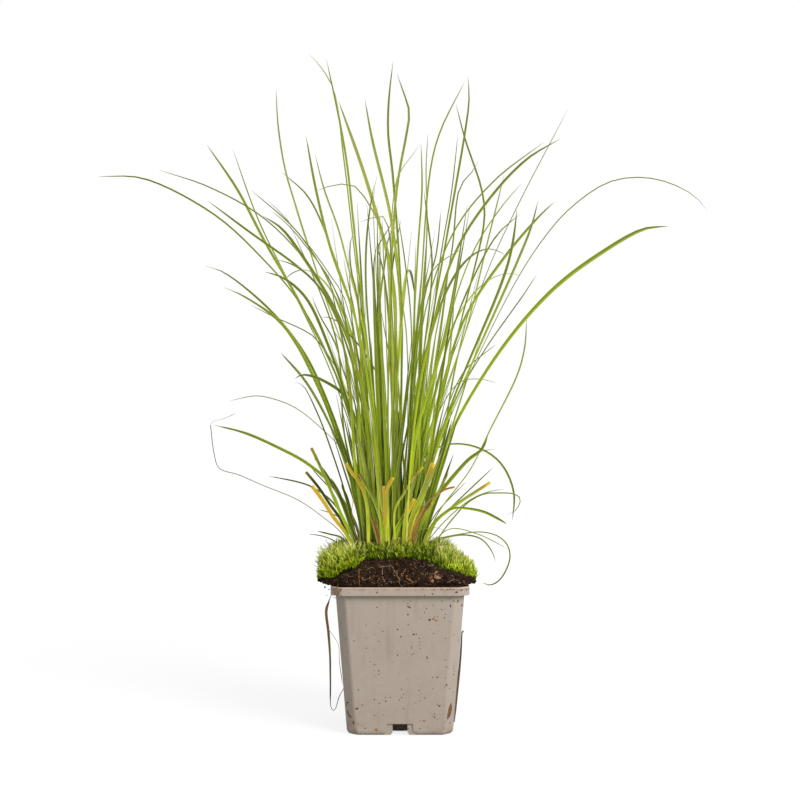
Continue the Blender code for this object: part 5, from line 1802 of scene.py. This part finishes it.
def mat_shoots(chance, start, end, count, lean, darkness, bend):
    """Shoots of one piece of the mat."""
    copies = []
    for _ in range(count):
        angle = math.radians(chance.uniform(start, end))
        across = chance.uniform(BARE_EDGE, 1.0)
        ragged = abs(angle - math.pi) < RAGGED_WIDTH and across < RAGGED_EDGE
        if ragged and chance.random() < RAGGED_GAPS:
            continue
        foot, rise = moss_height(angle, across)
        rise.z = max(rise.z, LEAST_SHOOT)
        stray = chance.random() < STRAY_SHARE
        rise *= chance.uniform(1.3, 1.55) if stray else chance.uniform(0.6, 1.15)
        sway = lean * (0.4 + 0.6 * across)
        rise.rotate(Matrix.Rotation(chance.gauss(0, sway), 3, "X"))
        rise.rotate(Matrix.Rotation(chance.gauss(0, sway), 3, "Y"))
        foot += Vector((chance.gauss(0, 0.5), chance.gauss(0, 0.5), -0.6)) * MM
        width = MM * chance.uniform(0.13, 0.21 + 0.04 * bend)
        matrix = standing(foot, rise, chance.uniform(0, 6.28), (width, width, rise.length))
        # The second shade is the share of painted light on the tips, which grows up the mat.
        shades = [chance.random() ** darkness, across * chance.random() ** 0.3, 0.0]
        copies.append((5 if stray else bend + chance.randrange(4), matrix, shades))
    return copies


def creeping_shoots(chance):
    """Shoots that creep down over the soil at the left."""
    copies = []
    for _ in range(CREEPING_COUNT):
        x = chance.uniform(CREEPING_EDGE[0][0], CREEPING_EDGE[-1][0])
        y = blend_rows(CREEPING_EDGE, x)[0] - CREEPING_BAND * chance.random()
        foot, _ = seen_at(MOUND_TREE, x, y)
        if foot is None:
            continue
        rise = Vector((chance.gauss(0, 0.35), chance.gauss(0, 0.35) - 0.3, 1))
        rise = rise * chance.uniform(2, 4) * MM
        add_shoot(chance, copies, foot, rise, (0.13, 0.24), 1.5, 0.0)
    return copies


def shoots_among_leaves(chance):
    """Shoots among the feet of the outer leaves and up to the mat, painted darkest in front as the
    shade under the leaves, with painted light on their tips elsewhere.
    """
    copies = []
    for _ in range(AMONG_COUNT):
        angle = chance.uniform(0, math.tau)
        reach = rounded_reach(angle, CROWN_HALF_X, CROWN_HALF_Y, CROWN_SQUARENESS)
        share = 1.24 - abs(chance.gauss(0, 0.2))
        foot = Vector((CROWN_CENTRE_X + share * reach * math.cos(angle),
                       share * reach * math.sin(angle), CROWN_TOP - MM))
        if share > 1:
            foot.z = MOUND_TREE.ray_cast(foot + Vector((0, 0, 0.05)), Vector((0, 0, -1)))[0].z
        rise = Vector((chance.gauss(0, 0.4), chance.gauss(0, 0.4), 1)) * chance.uniform(4, 9) * MM
        in_front = foot.y < -0.4 * CROWN_HALF_Y and abs(foot.x) < 0.75 * CROWN_HALF_X
        looks = (3.2, 0.0) if in_front else (0.9, 0.8)
        add_shoot(chance, copies, foot, rise, (0.15, 0.26), *looks)
    return copies


def make_shoots():
    chance = random.Random(59)
    shapes = [shoot(seed, curl) for seed, curl in enumerate(SHOOT_BENDS)]
    pieces = {name: mat_shoots(chance, *row) for name, row in MOSS_QUARTERS.items()}
    pieces["moss_creeping"] = creeping_shoots(chance)
    pieces["moss_among_leaves"] = shoots_among_leaves(chance)
    bright = moss_material()
    for name, copies in pieces.items():
        place_piece(join_copies(name, shapes, copies), bright)


make_felt()
make_shoots()

# Soil on the pot. Splashes and crumbs of wet peat that dried on the outside, orange-brown where
# thin.
# Each: place in the picture, width and height in pixels, kind, and its turn in degrees if any.
SPLASHES = (
    (409, 607, 4.2, 1.5, "dark", -25), (408, 614.5, 1.8, 1.6, "dark"),
    (377, 607.3, 1.4, 1.4, "dark"), (377, 592.5, 1.6, 1.8, "dark"), (432.6, 594, 1.6, 1.4, "dark"),
    (404, 601.5, 1.2, 1.0, "tan"), (410.5, 601, 1.6, 2.6, "tan", 20),
    (426.5, 608.5, 1.0, 1.4, "dark"), (424.5, 612.3, 1.0, 1.2, "dark"),
    (429.6, 619.8, 2.6, 2.2, "dark", 30), (433.5, 619, 3.0, 2.0, "orange"),
    (436, 620.5, 3.4, 1.6, "orange", 20), (434.5, 617, 1.8, 1.2, "orange"),
    (437.5, 616.3, 1.6, 1.0, "orange"), (444.6, 617.6, 1.2, 1.4, "dark"),
    (450.5, 606, 1.4, 3.0, "dark", 8), (462, 605.3, 3.2, 1.6, "dark", 38),
    (397.5, 629.4, 1.6, 1.6, "dark"), (400.8, 636.7, 1.6, 1.5, "dark"),
    (413.8, 634.4, 2.6, 1.8, "brown", 20), (419.4, 638.4, 1.2, 1.4, "dark"),
    (420, 642, 0.8, 1.0, "dark"), (419.6, 645, 0.9, 1.0, "dark"), (420.5, 648.6, 0.9, 1.0, "dark"),
    (413, 642.5, 0.8, 0.9, "dark"), (411.6, 648, 0.8, 1.0, "dark"),
    (413.5, 653.7, 0.9, 1.2, "dark"), (397.6, 655.2, 1.0, 1.8, "dark"),
    (381.5, 659.6, 1.6, 1.0, "tan"), (393, 661.3, 1.8, 0.9, "tan"),
    (427.2, 657.5, 1.9, 3.2, "orange", 10), (438.4, 631.3, 1.0, 1.2, "tan"),
    (431, 629.6, 1.8, 0.9, "tan"), (446.6, 667.2, 1.0, 1.4, "dark"),
    (453.8, 674.4, 1.4, 1.4, "dark"), (437.4, 677.2, 2.8, 1.6, "orange", 40),
    (446.6, 685, 1.8, 2.2, "brown"), (445, 686.8, 2.0, 1.2, "tan", 20),
    (449.6, 688.6, 1.2, 1.4, "dark"), (408, 679.4, 1.4, 1.0, "tan"),
    (419.4, 690.3, 1.0, 1.4, "dark"), (401.6, 689.2, 1.0, 1.4, "dark"),
    (407.3, 691.6, 1.0, 1.0, "tan"), (385.4, 697.3, 1.3, 1.1, "brown"),
    (390.6, 697.3, 1.2, 1.2, "brown"), (374.4, 699.4, 1.2, 1.2, "dark"),
    (386, 701.3, 1.6, 1.4, "dark"), (379.4, 703.3, 1.8, 1.0, "brown"),
    (401.6, 697.4, 0.9, 1.3, "dark"), (357, 708.6, 3.4, 2.4, "brown", 25),
    (439.4, 705.8, 2.6, 1.9, "brown"), (449.6, 711.5, 5.2, 16.0, "rust", -10),
    (450.6, 706.0, 3.0, 6.0, "brown", -6), (447.8, 717, 2.0, 4.4, "brown", -5),
    (434.5, 713.8, 1.1, 1.3, "dark"), (435, 717, 1.8, 1.3, "brown"),
    (437.6, 719.2, 2.0, 1.0, "tan"), (424.2, 720.8, 2.6, 2.0, "orange", 30),
    (404.6, 709.6, 1.2, 0.9, "tan"), (413, 709.6, 1.6, 1.0, "tan"),
    (347.4, 702.4, 3.4, 1.9, "dark", 10), (346.6, 704.6, 2.0, 1.6, "brown"),
    (348.4, 713.5, 1.8, 7.0, "dark", 24), (350.6, 716.5, 1.6, 3.0, "dark", 20),
    (353.5, 722.5, 3.0, 3.2, "brown"), (351, 720, 1.6, 2.6, "tan"),
    (376.4, 729.6, 3.2, 2.4, "orange", 10), (365, 728.3, 1.4, 1.2, "dark"),
    (345.8, 638.5, 1.2, 1.2, "dark"), (347.5, 651.6, 1.0, 1.0, "dark"),
    (458, 601, 2.0, 3.0, "brown"), (456.5, 592.2, 3.0, 1.8, "dark"),
    (461.5, 590.2, 2.6, 1.6, "dark"), (466.3, 590, 2.2, 1.4, "brown"),
    (453.6, 589.4, 1.8, 1.0, "brown"), (447.3, 589.2, 1.8, 0.9, "dark"),
    (441.5, 589.3, 1.6, 0.8, "dark"), (434.5, 589.6, 1.2, 0.8, "brown"),
    (422.4, 588.8, 1.0, 0.8, "dark"), (446.5, 593.6, 1.4, 0.9, "tan"),
    (461, 594.5, 1.4, 1.2, "tan"), (450.5, 596.2, 1.0, 1.0, "tan"),
    (336.5, 591.5, 10.0, 8.5, "stain", 10), (340.5, 590.2, 1.4, 5.0, "brown", -30),
    (338.5, 593.5, 1.0, 3.4, "brown", -24), (333.2, 589.4, 2.0, 1.4, "brown"),
    (450, 722.6, 2.4, 3.0, "tan", 10), (456.5, 731, 2.4, 2.2, "tan"), (441, 731.2, 1.6, 1.0, "tan"),
    (433.2, 733, 1.2, 0.8, "brown"),
)
SPLASH_COLOURS = {
    "dark": ((0.03, 0.018, 0.011), (0.09, 0.052, 0.03)),
    "brown": ((0.10, 0.05, 0.022), (0.22, 0.12, 0.05)),
    "rust": ((0.06, 0.03, 0.012), (0.30, 0.15, 0.05)),
    "orange": ((0.36, 0.16, 0.045), (0.20, 0.085, 0.03)),
    "tan": ((0.31, 0.21, 0.12), (0.37, 0.28, 0.19)),
    "stain": ((0.30, 0.195, 0.11), (0.36, 0.27, 0.18)),
}
SPLASH_THICKNESS = 0.14 * MM
POT_TREE = BVHTree.FromObject(pot, bpy.context.evaluated_depsgraph_get())
THIN_KINDS, THIN_SHARE = ("stain", "tan"), 0.4
# On each side that isn't seen: how many, heights and offsets in mm, and kinds.
SIDE_COUNT = 46
SIDE_HEIGHTS, SIDE_OFFSETS = (4, 94), (-30, 30)
SIDE_KINDS = ("dark", "dark", "brown", "tan", "orange")


def splash_shape(seed):
    """A flat ragged cake of dried soil."""
    bm = bmesh.new()
    bmesh.ops.create_icosphere(bm, subdivisions=2, radius=1.0)
    for vert in bm.verts:
        around = Vector((vert.co.x, vert.co.y, seed * 3.7)) * 1.9
        vert.co.x *= 1 + 0.55 * noise.noise(around)
        vert.co.y *= 1 + 0.55 * noise.noise(around + Vector((0, 0, 8.1)))
        vert.co.z *= 1 + 0.5 * noise.noise(vert.co * 3.0)
    return template(bm)


def make_splashes():
    chance = random.Random(83)
    shapes = [splash_shape(seed) for seed in range(7)]
    copies = {kind: [] for kind in SPLASH_COLOURS}

    def stick(place, normal, width, height, turn, kind, thickness):
        upright = Vector((0, 0, 1)) - normal * normal.z
        right = upright.cross(normal).normalized()
        frame_turn = Matrix((right, normal.cross(right), normal)).transposed().to_4x4()
        size = Matrix.Diagonal((width / 2, height / 2, thickness, 1))
        matrix = Matrix.Translation(place) @ frame_turn @ Matrix.Rotation(turn, 4, "Z") @ size
        copies[kind].append((chance.randrange(len(shapes)), matrix, three_shades(chance)))

    for x, y, width, height, kind, *turned in SPLASHES:
        place, normal = seen_at(POT_TREE, x, y)
        if place is None:
            continue
        thickness = SPLASH_THICKNESS * (THIN_SHARE if kind in THIN_KINDS else 1.0)
        turn = math.radians(turned[0]) if turned else 0.0
        stick(place, normal, width * PIXEL, height * PIXEL, turn, kind, thickness)
    # The other sides are as splashed as the front, at random.
    for direction in (0, 90, 180):
        middle = math.radians(direction)
        for _ in range(SIDE_COUNT):
            height = chance.uniform(*SIDE_HEIGHTS) * MM
            offset = chance.uniform(*SIDE_OFFSETS) * MM
            out = level_way(middle)
            start = out * 0.1 + Vector((-out.y, out.x, 0)) * offset + Vector((0, 0, height))
            place, normal, _, _ = POT_TREE.ray_cast(start, -out)
            if place is None or place.dot(out) < FOOT_HALF * 0.9:
                continue
            size = chance.uniform(0.5, 1.5) * MM
            kind = chance.choice(SIDE_KINDS)
            tall = size * chance.uniform(0.6, 1.5)
            stick(place, normal, size, tall, chance.uniform(0, 3), kind, SPLASH_THICKNESS)
    for kind, (colour, second) in SPLASH_COLOURS.items():
        name = "dried_soil_" + kind
        splashes = join_copies(name, shapes, copies[kind])
        splashes.data.shade_smooth()
        place_piece(splashes, plain_paint(name, 0.85, colour, second, 1400.0, 0.9))


make_splashes()
